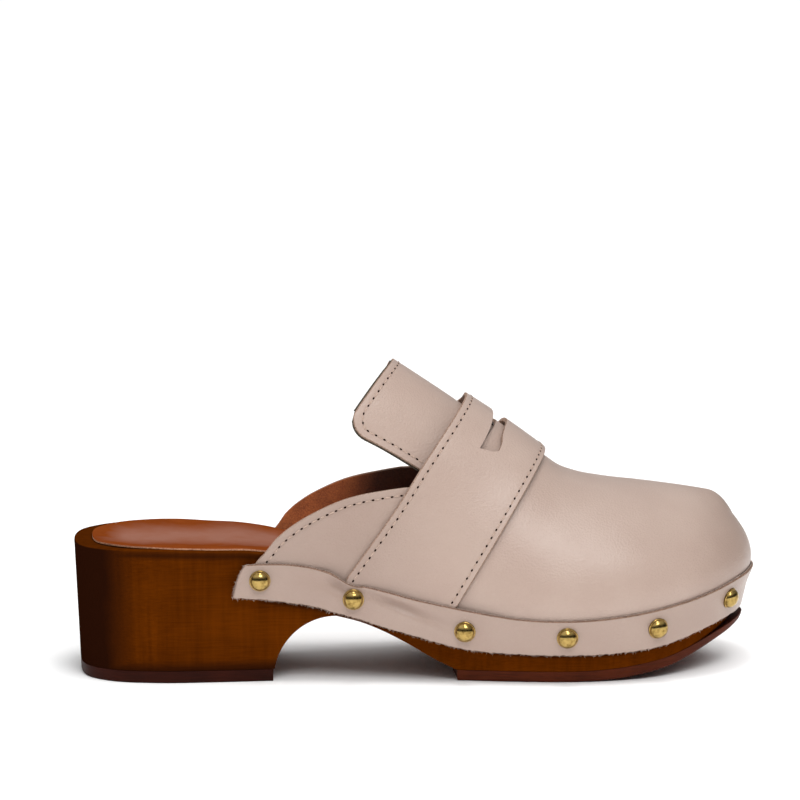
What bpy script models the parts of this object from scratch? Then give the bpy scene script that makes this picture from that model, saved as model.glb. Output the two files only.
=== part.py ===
"""Wooden-soled clog mule for the right foot.

A carved wooden sole with a block heel carries a closed-toe leather upper, a tongue flap,
a saddle strap with a penny slot, and a leather band nailed round the sole's edge with
domed studs. Stations run along +X from the heel's back to the toe, heights run up +Z from
the floor, the outer side of the foot faces -Y and the inner side +Y.
"""
import math

import bmesh
import bpy
import numpy as np
from mathutils import Vector

MM = 0.001


def table(columns, *rows):
    """Named columns of a short table: lengths in millimetres, then plain ratios after the bar."""
    lengths, _, ratios = columns.partition("|")
    names = lengths.split() + ratios.split()
    scale = [MM] * len(lengths.split()) + [1.0] * len(ratios.split())
    values = np.array(rows, dtype=float) * scale
    return {name: values[:, column] for column, name in enumerate(names)}


# Driving sizes
LENGTH = 248.5 * MM
GAP = 0.3 * MM
UPPER_WALL = 1.8 * MM
STRAP_WALL = 1.4 * MM
RAND_WALL = 1.3 * MM
RAND_TOE_WALL = 0.9 * MM
TONGUE_WALL = 2.0 * MM
TONGUE_GAP = 0.5 * MM
SOCK_WALL = 0.9 * MM
LIFT_WALL = 4.2 * MM
OUTSOLE_WALL = 3.8 * MM
MARGIN_COVER = 2.5 * MM
SEAT_DISH = 1.6 * MM
SEAT_FADE_HEEL = 20.0 * MM
SEAT_FADE_TOE = 40.0 * MM
WOOD_EASE = 1.0 * MM
LIFT_EASE = 0.5 * MM
UPPER_FACE = GAP + UPPER_WALL

# Half-widths of the sole's top edge
OUTLINE = table(
    "station outer inner",
    (3.6, 18.2, 18.2),
    (12.0, 26.5, 26.5),
    (30.0, 31.8, 31.0),
    (50.0, 32.2, 30.5),
    (72.0, 31.4, 28.0),
    (95.0, 31.6, 26.0),
    (118.0, 33.2, 27.5),
    (140.0, 37.0, 33.0),
    (160.0, 41.2, 39.0),
    (178.0, 43.5, 43.0),
    (195.0, 43.3, 44.0),
    (212.0, 39.8, 41.2),
    (226.0, 33.2, 34.6),
    (237.0, 24.4, 25.6),
    (244.5, 14.6, 15.4),
)

# Foot form: the sole's top edge, the forward lean of a section on each side, bulge, squareness, side taper
LAST = table(
    "station feather outer_lean inner_lean bulge | fullness taper",
    (0.0, 49.6, 43.0, 35.5, 0.0, 2.6, 0.045),
    (30.0, 49.9, 43.0, 35.5, 0.0, 2.6, 0.045),
    (50.0, 49.3, 43.0, 35.5, 0.0, 2.6, 0.045),
    (65.0, 48.8, 43.0, 35.5, 0.0, 2.6, 0.045),
    (80.0, 46.0, 43.0, 35.5, 0.0, 2.6, 0.050),
    (100.0, 37.8, 43.0, 36.5, 0.3, 2.5, 0.060),
    (120.0, 30.6, 38.0, 35.0, 0.6, 2.4, 0.080),
    (141.0, 25.2, 31.0, 30.3, 0.9, 2.4, 0.110),
    (160.0, 22.2, 23.0, 23.0, 1.2, 2.3, 0.130),
    (180.0, 20.8, 15.0, 15.0, 1.5, 2.25, 0.140),
    (200.0, 21.8, 7.0, 7.0, 1.7, 2.2, 0.150),
    (215.0, 23.8, 1.0, 1.0, 2.0, 2.1, 0.160),
    (230.0, 27.0, -2.0, -2.0, 2.3, 2.05, 0.190),
    (240.0, 29.8, -7.5, -7.5, 2.6, 2.0, 0.215),
    (248.5, 32.5, -13.0, -13.0, 2.8, 2.0, 0.230),
)
BULGE_TOP = 0.75
BULGE_SKEW = 0.85

# Height of the foot form along its ridge
RIDGE = table(
    "station height",
    (100.0, 124.0),
    (116.5, 114.2),
    (142.0, 98.5),
    (160.0, 86.3),
    (174.0, 75.8),
    (179.0, 72.2),
    (186.5, 69.2),
    (197.0, 67.0),
    (215.5, 64.8),
    (236.0, 62.0),
    (248.5, 60.2),
)

# Underside of the sole: quarter-ellipse heel breast, then the arch runs down to the forefoot
BREAST_START = 72.0 * MM
ARCH = table(
    "station height",
    (95.0, 24.2),
    (104.0, 21.8),
    (112.6, 18.2),
    (120.5, 14.0),
    (131.8, 7.4),
    (138.5, 4.1),
)
ARCH_PEAK = ARCH["station"][0]
ARCH_HEIGHT = ARCH["height"][0]
OUTSOLE_START = 138.8 * MM
TOE_SPRING = table(
    "station height lip roll",
    (138.5, 0.0, 0.0, 0.8),
    (170.0, 0.0, 0.0, 0.8),
    (181.0, 0.0, 0.0, 0.8),
    (205.0, 1.6, 0.0, 0.9),
    (220.0, 4.2, 0.0, 1.0),
    (232.0, 8.0, 0.5, 1.6),
    (240.0, 11.0, 1.6, 2.2),
    (245.0, 13.0, 3.0, 2.8),
    (248.5, 14.5, 4.3, 3.2),
)

# How far the foot bed's cover is set in from the wood's rim
SOCK = table(
    "station outer inner",
    (0.0, 6.7, 6.7),
    (10.0, 5.6, 5.6),
    (22.0, 3.0, 3.6),
    (34.0, 1.2, 2.0),
    (42.0, 0.9, 1.6),
    (52.0, 0.8, 3.2),
    (62.0, 0.8, 4.4),
    (76.0, 0.8, 4.8),
    (100.0, 1.2, 4.4),
    (130.0, 1.4, 2.6),
    (190.0, 1.4, 1.4),
    (215.0, 2.4, 2.4),
    (240.0, 3.4, 3.4),
    (248.5, 3.4, 3.4),
)

# Band round the sole's edge
RAND = table(
    "station top bottom",
    (50.0, 43.9, 33.0),
    (57.0, 44.4, 32.3),
    (68.0, 44.7, 31.4),
    (78.0, 44.4, 30.0),
    (88.0, 42.7, 28.3),
    (92.0, 41.5, 27.2),
    (96.0, 39.4, 26.2),
    (98.8, 37.7, 25.5),
    (101.0, 36.8, 24.9),
    (105.0, 36.2, 23.6),
    (112.0, 34.4, 21.3),
    (123.0, 31.3, 18.3),
    (134.0, 28.9, 15.3),
    (142.0, 27.4, 13.5),
    (150.0, 26.0, 12.5),
    (160.0, 24.7, 11.8),
    (179.0, 24.3, 11.4),
    (195.0, 25.5, 11.8),
    (213.0, 28.0, 13.5),
    (230.0, 31.7, 18.0),
    (241.0, 35.0, 20.8),
    (248.5, 37.2, 22.2),
)
RAND_START = 57.0 * MM
RAND_LEAN = 2.6 * MM
RAND_CORNER = 3.0 * MM
RAND_END_FADE = 25.0 * MM
RAND_RAMP = 15.0 * MM
RAND_THIN_START = 190.0 * MM
RAND_THIN_END = 242.0 * MM

# Collar of the upper: height of its edge as a share of the section's turn
UPPER_START = 63.7 * MM
COLLAR = table(
    "station | turn",
    (63.7, -0.55),
    (65.4, -0.28),
    (67.2, -0.108),
    (69.0, 0.009),
    (70.4, 0.0356),
    (72.2, 0.058),
    (77.6, 0.115),
    (83.8, 0.178),
    (90.8, 0.242),
    (97.0, 0.298),
    (102.5, 0.345),
    (108.0, 0.47),
    (112.0, 0.64),
    (115.0, 0.83),
    (116.5, 1.00),
)
COLLAR_BAND = 0.12
THROAT_START = 102.5 * MM

# Saddle strap: stations of its edges up the section's turn, and of the slot's edges
STRAP = table(
    "rear front | turn",
    (98.3, 137.5, 0.0),
    (98.5, 137.9, 0.2),
    (97.9, 138.4, 0.4),
    (98.2, 139.0, 0.6),
    (99.0, 140.0, 0.8),
    (100.2, 141.5, 1.0),
)
STRAP_TUCK = 7.0 * MM
STRAP_INNER_SHIFT = 2.2 * MM
STRAP_SHIFT_TURN = 0.2
STAND_REAR = 0.8 * MM
STAND_FRONT = 1.1 * MM
STAND_TURN = 0.7
SLOT = table(
    "rear front | turn",
    (113.0, 120.8, 0.61),
    (113.0, 120.4, 0.70),
    (113.0, 119.3, 0.76),
    (112.7, 119.1, 0.85),
    (112.3, 120.2, 1.0),
)

# Tongue flap: stations of its free end and of its hidden end, and its lower edge
TONGUE_END = 74.6 * MM
TONGUE_ROOT = 126.0 * MM
TONGUE_TURN = 0.392
TONGUE_SWEEP_OUTER = -4.6 * MM
TONGUE_SWEEP_INNER = 2.6 * MM
TONGUE_BOW_OUTER = -0.35 * MM
TONGUE_BOW_INNER = 0.3 * MM
TONGUE_SPRING = 2.0 * MM
TONGUE_SPRING_FADE = 1.6
TONGUE_CORNER = 8.0 * MM
TONGUE_CORNER_TURN = 0.10

# Domed studs on each side, from the heel end to the toe
STUDS = table(
    "station height",
    (66.8, 38.7),
    (101.2, 31.8),
    (142.2, 20.4),
    (178.4, 18.3),
    (210.9, 20.7),
    (239.0, 28.0),
)
STUD_RADIUS = 3.9 * MM
STUD_LEDGE = 0.3 * MM
STUD_RIM = 0.5 * MM
STUD_DOME = 2.6 * MM

# Mesh fineness
LOOP_POINTS = 700
COLUMN_STEP = 7.2 * MM
MARGIN_ROWS = 2
SECTION_ROWS = 10
THROAT_COLUMNS = 8
HEEL_RINGS = 10
BREAST_RINGS = 7
FORE_RINGS = 24
LIFT_RINGS = 12
BED_RINGS = 23
BED_COLUMNS = 6
RUBBER_COLUMNS = 3
TONGUE_ROWS = 9
TONGUE_COLUMNS = 12
TONGUE_CROWDING = 1.15
STRAP_FOOT_ROWS = 2
STRAP_SIDE_ROWS = 8
SLOT_ROWS = 5
RAND_ROWS = 4
STUD_SIDES = 12
STUD_RINGS = 4
STUD_MERGE = 0.01 * MM
MERGE = 0.05 * MM
PROBE = 0.4 * MM
PROBE_TURN = 0.004
TINY = 1e-15
SHARP_ANGLE = math.radians(40.0)

# Colours and roughness of the finishes
FINISHES = {
    "nude_leather": ((0.58, 0.42, 0.34), 0.45, 0.0),
    "dark_wood": ((0.09, 0.025, 0.003), 0.42, 0.0),
    "black_brown_rubber": ((0.035, 0.012, 0.006), 0.55, 0.0),
    "tan_sock_leather": ((0.50, 0.15, 0.055), 0.40, 0.0),
    "brass": ((0.62, 0.44, 0.12), 0.18, 1.0),
}


def hermite(knots, values, at):
    """Smooth curve through the knots, read at any places."""
    at = np.clip(at, knots[0], knots[-1])
    slope = np.gradient(values, knots)
    low = np.clip(np.searchsorted(knots, at) - 1, 0, len(knots) - 2)
    span = knots[low + 1] - knots[low]
    part = (at - knots[low]) / span
    ease = part * part * (3.0 - 2.0 * part)
    leave = part * (1.0 - part) ** 2 * span * slope[low]
    arrive = part * part * (part - 1.0) * span * slope[low + 1]
    return values[low] * (1.0 - ease) + values[low + 1] * ease + leave + arrive


def read(rows, name, station):
    """One column of a table at a station."""
    return hermite(rows["station"], rows[name], station)


def outline_loop():
    """Loop of the sole's top edge: heel back, outer side, toe tip, inner side, with outward normals."""
    halves = []
    for side, name in ((-1.0, "outer"), (1.0, "inner")):
        width = OUTLINE[name] * side
        rows = OUTLINE["station"]
        x = np.concatenate(([rows[0], 0.0], rows, [LENGTH, rows[-1]]))
        y = np.concatenate(([-width[0], 0.0], width, [0.0, -width[-1]]))
        knots = np.concatenate(([0.0], np.cumsum(np.hypot(np.diff(x), np.diff(y)))))
        fine = np.linspace(knots[1], knots[-2], LOOP_POINTS)
        halves.append((hermite(knots, x, fine), hermite(knots, y, fine)))
    (outer_x, outer_y), (inner_x, inner_y) = halves
    x = np.concatenate((outer_x, inner_x[-2::-1]))
    y = np.concatenate((outer_y, inner_y[-2::-1]))
    place = np.concatenate(([0.0], np.cumsum(np.hypot(np.diff(x), np.diff(y)))))
    along_x, along_y = np.gradient(x, place), np.gradient(y, place)
    size = np.hypot(along_x, along_y)
    return {"place": place, "x": x, "y": y, "nx": along_y / size, "ny": -along_x / size}


LOOP = outline_loop()
TIP_INDEX = LOOP_POINTS - 1
TIP = LOOP["place"][TIP_INDEX]


def edge(place):
    """Point and outward normal of the sole's top edge at a loop position."""
    return [np.interp(place, LOOP["place"], LOOP[name]) for name in ("x", "y", "nx", "ny")]


def loop_place(side, station):
    """Loop position of a station on the outer (-1) or inner (+1) side."""
    if side < 0:
        return np.interp(station, LOOP["x"][:TIP_INDEX + 1], LOOP["place"][:TIP_INDEX + 1])
    return np.interp(station, LOOP["x"][:TIP_INDEX - 1:-1], LOOP["place"][:TIP_INDEX - 1:-1])


def lean(place):
    """Forward lean of the section that rises from a loop position."""
    x = edge(place)[0]
    return np.where(place <= TIP, read(LAST, "outer_lean", x), read(LAST, "inner_lean", x))


def crest(place):
    """Station where that section meets the ridge."""
    return edge(place)[0] + lean(place)


def partner(side, station):
    """Loop position, on either side, of the section that meets the ridge with an outer station."""
    outer = loop_place(-1, station)
    if side < 0:
        return outer
    inner = LOOP["place"][:TIP_INDEX - 1:-1]
    return np.interp(crest(outer), crest(inner), inner)


def margin_depth(station):
    """How far the upper runs down the sole's side, out of sight under the band."""
    return read(LAST, "feather", station) - read(RAND, "bottom", station) - MARGIN_COVER


def form(place, turn):
    """Foot form: turn -1 is the margin's lower edge, 0 the sole's top edge and 1 the ridge."""
    x, y, nx, ny = edge(place)
    feather = read(LAST, "feather", x)
    ahead = lean(place)
    power = 2.0 / read(LAST, "fullness", x)
    angle = np.clip(turn, 0.0, 1.0) * math.pi / 2
    rise = np.sin(angle) ** power
    inward = 1.0 - np.clip(np.cos(angle), 0.0, 1.0) ** power
    run = np.where(ahead > 0.0, ahead * rise, ahead * inward)
    ridge = read(RIDGE, "height", x + np.where(ahead > 0.0, ahead, run))
    depth = margin_depth(x) * np.minimum(turn, 0.0)
    swell = np.sin(math.pi * np.minimum(rise / BULGE_TOP, 1.0) ** BULGE_SKEW)
    out = read(LAST, "bulge", x) * swell + read(LAST, "taper", x) * depth
    z = feather + depth + (ridge - feather) * rise
    return np.stack((x + run + nx * out, y * (1.0 - inward) + ny * out, z), axis=-1)


def ridge_normal(place):
    """Upright normal of the foot form along its ridge."""
    station = crest(place)
    fall = read(RIDGE, "height", station + PROBE) - read(RIDGE, "height", station - PROBE)
    normal = np.stack((-fall / (2 * PROBE), np.zeros_like(fall), np.ones_like(fall)), axis=-1)
    return normal / np.linalg.norm(normal, axis=-1, keepdims=True)


def skin(place, turn, lift):
    """Point that stands a lift outwards from the foot form."""
    place, turn, lift = np.broadcast_arrays(place, turn, lift)
    along = form(place + PROBE, turn) - form(place - PROBE, turn)
    upward = form(place, np.minimum(turn + PROBE_TURN, 1.0)) - form(place, turn - PROBE_TURN)
    normal = np.cross(along, upward)
    normal /= np.maximum(np.linalg.norm(normal, axis=-1, keepdims=True), TINY)
    on_ridge = turn > 1.0 - PROBE_TURN / 4
    normal = np.where(on_ridge[..., None], ridge_normal(place), normal)
    return form(place, turn) + normal * lift[..., None]


def turn_at(place, height):
    """Turn of the foot form at a height near the sole's edge."""
    x = edge(place)[0]
    feather = read(LAST, "feather", x)
    ridge = read(RIDGE, "height", x + np.maximum(lean(place), 0.0))
    rise = np.clip((height - feather) / (ridge - feather), 0.0, 1.0)
    upper = np.arcsin(rise ** (read(LAST, "fullness", x) / 2.0)) / (math.pi / 2)
    return np.where(height > feather, upper, (height - feather) / margin_depth(x))


def smoothstep(value):
    """Ease from 0 to 1."""
    part = np.clip(value, 0.0, 1.0)
    return part * part * (3.0 - 2.0 * part)


def columns(start):
    """Stations from a start to the toe tip, evenly spaced along the sole's edge."""
    first = loop_place(-1, start)
    count = int((TIP - first) // COLUMN_STEP)
    outer = np.concatenate(([first], TIP - COLUMN_STEP * np.arange(count, -1, -1)))
    if outer[1] - outer[0] < COLUMN_STEP / 2:
        outer = np.delete(outer, 1)
    return edge(outer)[0]


def round_the_toe(stations):
    """Loop positions of stations up the outer side, round the toe and back down the inner side."""
    return np.concatenate((partner(-1, stations), partner(1, stations[:-1])[::-1]))


def add_object(name, mesh, finish, collection):
    """Named object with its finish, in its collection."""
    mesh.materials.append(finish)
    piece = bpy.data.objects.new(name, mesh)
    collection.objects.link(piece)
    return piece


def finished_mesh(name, shape):
    """Mesh of a closed shape, faces outwards, shaded smooth between its sharp edges."""
    bmesh.ops.recalc_face_normals(shape, faces=shape.faces)
    mesh = bpy.data.meshes.new(name)
    shape.to_mesh(mesh)
    shape.free()
    mesh.shade_smooth()
    mesh.set_sharp_from_angle(angle=SHARP_ANGLE)
    return mesh


def shell(name, place, turn, inner, outer, hole=None):
    """Closed shell between two lifts off the foot form, over a grid of loop positions and turns."""
    low, high = skin(place, turn, inner), skin(place, turn, outer)
    rows, count = place.shape
    shape = bmesh.new()
    number = shape.verts.layers.int.new("number")
    for index, point in enumerate(low.reshape(-1, 3)):
        shape.verts.new(point)[number] = index
    shape.verts.ensure_lookup_table()
    for row in range(rows - 1):
        for column in range(count - 1):
            if hole is None or not hole[row, column]:
                corner = row * count + column
                loop = (corner, corner + 1, corner + count + 1, corner + count)
                shape.faces.new([shape.verts[index] for index in loop])
    bmesh.ops.delete(shape, geom=[v for v in shape.verts if not v.link_faces], context="VERTS")
    bmesh.ops.remove_doubles(shape, verts=shape.verts, dist=MERGE)
    raised = bmesh.ops.extrude_face_region(shape, geom=shape.faces[:])["geom"]
    far_side = high.reshape(-1, 3)
    for vert in (item for item in raised if isinstance(item, bmesh.types.BMVert)):
        vert.co = far_side[vert[number]]
    return finished_mesh(name, shape)


def loft(name, rings, capped):
    """Closed body through closed rings; an end ring that has shrunk to a line needs no cap."""
    shape = bmesh.new()
    verts = [[shape.verts.new(point) for point in ring] for ring in rings]
    for ring, after in zip(verts, verts[1:]):
        for index in range(len(ring)):
            beside = (index + 1) % len(ring)
            shape.faces.new((ring[index], ring[beside], after[beside], after[index]))
    for end in capped:
        shape.faces.new(verts[end])
    bmesh.ops.remove_doubles(shape, verts=shape.verts, dist=MERGE)
    return finished_mesh(name, shape)


def slab_rings(stations, rim, across, dish_low, dish_high):
    """Rings of a flat piece: up the outer rim, across the top, down the inner rim, back underneath."""
    share = np.linspace(0.0, 1.0, across + 1)[1:-1, None]
    rings = []
    for station in stations:
        sides = []
        for side in (-1, 1):
            x, y, nx, ny = edge(loop_place(side, station))
            rows = [(x - nx * inset, y - ny * inset, height) for height, inset in rim(station, side)]
            sides.append(np.array(rows))
        outer, inner = sides
        hollow = 4.0 * share * (1.0 - share) * np.array((0.0, 0.0, 1.0))
        over = outer[-1] * (1.0 - share) + inner[-1] * share - hollow * dish_high(station)
        under = inner[0] * (1.0 - share) + outer[0] * share - hollow * dish_low(station)
        rings.append(np.concatenate((outer, over, inner[::-1], under)))
    return rings


def flat(station):
    """No hollow."""
    return 0.0


def seat_dish(station):
    """Hollow of the foot bed, fading out at the heel's back and at the toe."""
    heel_end = smoothstep(station / SEAT_FADE_HEEL)
    return SEAT_DISH * heel_end * smoothstep((LENGTH - station) / SEAT_FADE_TOE)


def toe_spring(station):
    """Height of the outsole's lower face, flat on the floor behind the ball."""
    return max(0.0, float(read(TOE_SPRING, "height", station)))


def underside(station):
    """Height of the wood's lower face, above the rubber or over the arch."""
    if station <= BREAST_START:
        return LIFT_WALL + GAP
    if station <= ARCH_PEAK:
        part = (ARCH_PEAK - station) / (ARCH_PEAK - BREAST_START)
        base = LIFT_WALL + GAP
        return max(base, ARCH_HEIGHT * math.sqrt(max(0.0, 1.0 - part * part)))
    if station <= ARCH["station"][-1]:
        return float(read(ARCH, "height", station))
    return toe_spring(station) + OUTSOLE_WALL + GAP


def taper_inset(station, height):
    """How far the sole's side has tapered in at a height."""
    return read(LAST, "taper", station) * (read(LAST, "feather", station) - height)


def crowded(start, end, count):
    """Stations from a start to an end, closest together at the start."""
    return start + (end - start) * (1.0 - np.cos(np.linspace(0.0, math.pi / 2, count + 1)))


def wood_sole():
    """Carved sole and heel in one piece, with eased edges."""
    ease = WOOD_EASE

    def rim(station, _side):
        low, high = underside(station), float(read(LAST, "feather", station))
        middle = (low + high) / 2
        rows = [(low, 0.5 * ease), (low + 0.5 * ease, 0.0), (middle, 0.0), (high - ease, 0.0)]
        rows += [(high - 0.3 * ease, 0.3 * ease), (high, ease)]
        return [(height, inset + taper_inset(station, height)) for height, inset in rows]

    heel = crowded(0.0, BREAST_START, HEEL_RINGS)
    breast = crowded(BREAST_START, ARCH_PEAK, BREAST_RINGS)
    fore = crowded(LENGTH, ARCH_PEAK, FORE_RINGS)[::-1]
    stations = np.concatenate((heel[:-1], breast, fore[1:]))
    return loft("wood_sole", slab_rings(stations, rim, BED_COLUMNS, flat, seat_dish), ())


def heel_lift():
    """Rubber top piece under the heel."""

    def rim(station, _side):
        rows = [(0.0, LIFT_EASE), (LIFT_EASE, 0.0), (LIFT_WALL, 0.0)]
        return [(height, inset + taper_inset(station, height)) for height, inset in rows]

    stations = crowded(0.0, BREAST_START, LIFT_RINGS)
    return loft("heel_lift", slab_rings(stations, rim, RUBBER_COLUMNS, flat, flat), (-1,))


def forefoot_outsole():
    """Rubber half sole that rolls up over the tip of the toe."""

    def rim(station, _side):
        spring = toe_spring(station)
        lip, roll = (float(read(TOE_SPRING, name, station)) for name in ("lip", "roll"))
        rows = [(0.0, roll), (0.3 * roll, 0.3 * roll), (roll, 0.0), (OUTSOLE_WALL, 0.0)]
        return [(spring + up, inset - lip + taper_inset(station, spring + up)) for up, inset in rows]

    stations = crowded(LENGTH, OUTSOLE_START, FORE_RINGS)[::-1]
    return loft("forefoot_outsole", slab_rings(stations, rim, RUBBER_COLUMNS, flat, flat), (0,))


def sock():
    """Leather cover of the foot bed, set in from the wood's rim at the heel's back."""

    def rim(station, side):
        seat = float(read(LAST, "feather", station)) + GAP
        inset = float(read(SOCK, "outer" if side < 0 else "inner", station))
        return [(seat, inset), (seat + SOCK_WALL, inset)]

    rear = crowded(0.0, LENGTH / 2, BED_RINGS)
    fore = crowded(LENGTH, LENGTH / 2, BED_RINGS)[::-1]
    stations = np.concatenate((rear, fore[1:]))
    return loft("sock", slab_rings(stations, rim, BED_COLUMNS, seat_dish, seat_dish), ())


def upper():
    """Vamp and both side wings in one wall, open at the collar and underneath."""
    throat = np.linspace(THROAT_START, COLLAR["station"][-1], THROAT_COLUMNS + 1)
    stations = columns(UPPER_START)
    clear = (stations < throat[0] - COLUMN_STEP / 3) | (stations > throat[-1] + COLUMN_STEP / 3)
    stations = np.sort(np.concatenate((stations[clear], throat)))
    place = round_the_toe(stations)
    top = np.interp(stations, COLLAR["station"], COLLAR["turn"])
    top = np.concatenate((top, top[-2::-1]))
    feather = np.minimum(0.0, top - COLLAR_BAND)
    margin = np.linspace(0.0, 1.0, MARGIN_ROWS + 1)[:, None]
    section = np.linspace(0.0, 1.0, SECTION_ROWS + 1)[1:, None]
    turn = np.concatenate((-1.0 + (1.0 + feather) * margin, feather + (top - feather) * section))
    return shell("upper", np.broadcast_to(place, turn.shape), turn, GAP, UPPER_FACE)


def over_the_ridge(climb):
    """Sides and turns of rows that climb from the outer edge to the ridge and go down the inner side."""
    turn = np.concatenate((climb, climb[-2::-1]))
    side = np.where(np.arange(len(turn)) < len(climb), -1, 1)
    return side, turn


def places(side, station):
    """Loop positions of a grid of stations, row by row on its own side."""
    rows = [partner(mark, line) for mark, line in zip(side, station)]
    return np.array(rows)


def tongue():
    """Flap that stands up over the instep, with its root under the strap and the vamp."""
    side, turn = over_the_ridge(np.linspace(0.0, 1.0, TONGUE_ROWS + 1))
    line = np.linspace(0.0, 1.0, TONGUE_COLUMNS + 1) ** TONGUE_CROWDING
    back = np.clip(1.0 - line * (TONGUE_ROOT - TONGUE_END) / TONGUE_CORNER, 0.0, 1.0)
    low = TONGUE_TURN + TONGUE_CORNER_TURN * (1.0 - np.sqrt(1.0 - back * back))
    turns = low[None, :] + (1.0 - low[None, :]) * turn[:, None]
    corner_sweep = np.where(side < 0, TONGUE_SWEEP_OUTER, TONGUE_SWEEP_INNER)[:, None]
    bow = np.where(side < 0, TONGUE_BOW_OUTER, TONGUE_BOW_INNER)[:, None]
    down = (1.0 - turns) / (1.0 - TONGUE_TURN)
    sweep = (corner_sweep * down + bow * np.sin(math.pi * down)) * (1.0 - line[None, :])
    station = TONGUE_END + sweep + (TONGUE_ROOT - TONGUE_END) * line[None, :]
    top = TONGUE_SPRING * turn[:, None] * (1.0 - line[None, :]) ** TONGUE_SPRING_FADE - TONGUE_GAP
    return shell("tongue", places(side, station), turns, top - TONGUE_WALL, top)


def saddle_strap():
    """Strap over the instep with the slot cut across its crest, tucked under the band at both ends."""
    foot = loop_place(-1, (STRAP["rear"][0] + STRAP["front"][0]) / 2)
    low = float(turn_at(foot, read(RAND, "top", edge(foot)[0]) - STRAP_TUCK))
    slot_end = SLOT["turn"][0]
    tucked = np.linspace(low, 0.0, STRAP_FOOT_ROWS + 1)[:-1]
    flank = np.linspace(0.0, slot_end, STRAP_SIDE_ROWS + 1)
    slotted = np.linspace(slot_end, 1.0, SLOT_ROWS + 1)[1:]
    side, turn = over_the_ridge(np.concatenate((tucked, flank, slotted)))
    middle = len(turn) // 2
    edges = [hermite(STRAP["turn"], STRAP[name], turn) for name in ("rear", "front")]
    slot_edges = [np.interp(turn, SLOT["turn"], SLOT[name]) for name in ("rear", "front")]
    width = edges[1] - edges[0]
    rear, front = ((line - edges[0]) / width for line in slot_edges)
    share = np.stack((0 * rear, rear / 2, rear, front, (1 + front) / 2, 0 * rear + 1), axis=1)
    shift = STRAP_INNER_SHIFT * smoothstep((1.0 - turn) / STRAP_SHIFT_TURN) * (side > 0)
    station = edges[0][:, None] + width[:, None] * share + shift[:, None] * (1.0 - share)
    stand = STAND_REAR + (STAND_FRONT - STAND_REAR) * share
    under = UPPER_FACE + GAP + stand * smoothstep(turn[:, None] / STAND_TURN)
    hole = np.zeros(share.shape, dtype=bool)
    hole[middle - SLOT_ROWS:middle + SLOT_ROWS, 2] = True
    turns = np.broadcast_to(turn[:, None], share.shape)
    return shell("saddle_strap", places(side, station), turns, under, under + STRAP_WALL, hole)


def rand_lift(place):
    """How far the band's inner face stands off the foot form, with a step over the strap's ends."""
    rear, front = crest(loop_place(-1, np.array((STRAP["rear"][0], STRAP["front"][0]))))
    on = smoothstep((crest(place) - rear + RAND_RAMP) / RAND_RAMP)
    off = smoothstep((front + RAND_RAMP - crest(place)) / RAND_RAMP)
    return UPPER_FACE + GAP + (STRAP_WALL + GAP) * on * off


def rand_wall(place):
    """Thickness of the band, thinner round the toe."""
    thinned = smoothstep((edge(place)[0] - RAND_THIN_START) / (RAND_THIN_END - RAND_THIN_START))
    return RAND_WALL + (RAND_TOE_WALL - RAND_WALL) * thinned


def rand():
    """Leather band round the sole's edge from one wing to the other."""
    stations = columns(RAND_START)
    place = round_the_toe(stations)
    rise = np.linspace(0.0, 1.0, RAND_ROWS + 1)[:, None]
    near_end = np.clip(1.0 - (stations - RAND_START) / RAND_END_FADE, 0.0, 1.0)
    near_end = np.concatenate((near_end, near_end[-2::-1]))
    toward_toe = np.where(place < TIP, 1.0, -1.0)
    round_end = RAND_LEAN * rise + RAND_CORNER * (1.0 - np.sqrt(1.0 - rise ** 4))
    grid = place[None, :] + (near_end * toward_toe)[None, :] * round_end
    station = edge(grid)[0]
    low, high = read(RAND, "bottom", station), read(RAND, "top", station)
    turn = turn_at(grid, low + (high - low) * rise)
    under = rand_lift(grid)
    return shell("rand", grid, turn, under, under + rand_wall(grid))


def rand_face(place, height):
    """Point on the band's outer face at a height."""
    return skin(place, turn_at(place, height), rand_lift(place) + rand_wall(place))


def stud_mesh():
    """Domed nail head on a thin rim, turned about its own axis."""
    dome = STUD_RADIUS - STUD_LEDGE
    angles = np.linspace(math.pi / 2, 0.0, STUD_RINGS + 1)
    profile = [(dome * math.cos(a), STUD_RIM + STUD_DOME * math.sin(a)) for a in angles]
    profile += [(STUD_RADIUS, STUD_RIM), (STUD_RADIUS, 0.0), (0.0, 0.0)]
    mesh = bpy.data.meshes.new("stud_profile")
    points = [(max(radius, 0.0), 0.0, height) for radius, height in profile]
    mesh.from_pydata(points, [(i, i + 1) for i in range(len(points) - 1)], [])
    turned = bpy.data.objects.new("stud_profile", mesh)
    bpy.context.scene.collection.objects.link(turned)
    screw = turned.modifiers.new("turn", "SCREW")
    screw.steps = screw.render_steps = STUD_SIDES
    screw.use_merge_vertices = True
    screw.merge_threshold = STUD_MERGE
    evaluated = turned.evaluated_get(bpy.context.evaluated_depsgraph_get())
    result = bpy.data.meshes.new_from_object(evaluated)
    bpy.data.objects.remove(turned)
    shape = bmesh.new()
    shape.from_mesh(result)
    bmesh.ops.remove_doubles(shape, verts=shape.verts, dist=STUD_MERGE)
    return finished_mesh("stud", shape)


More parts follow.
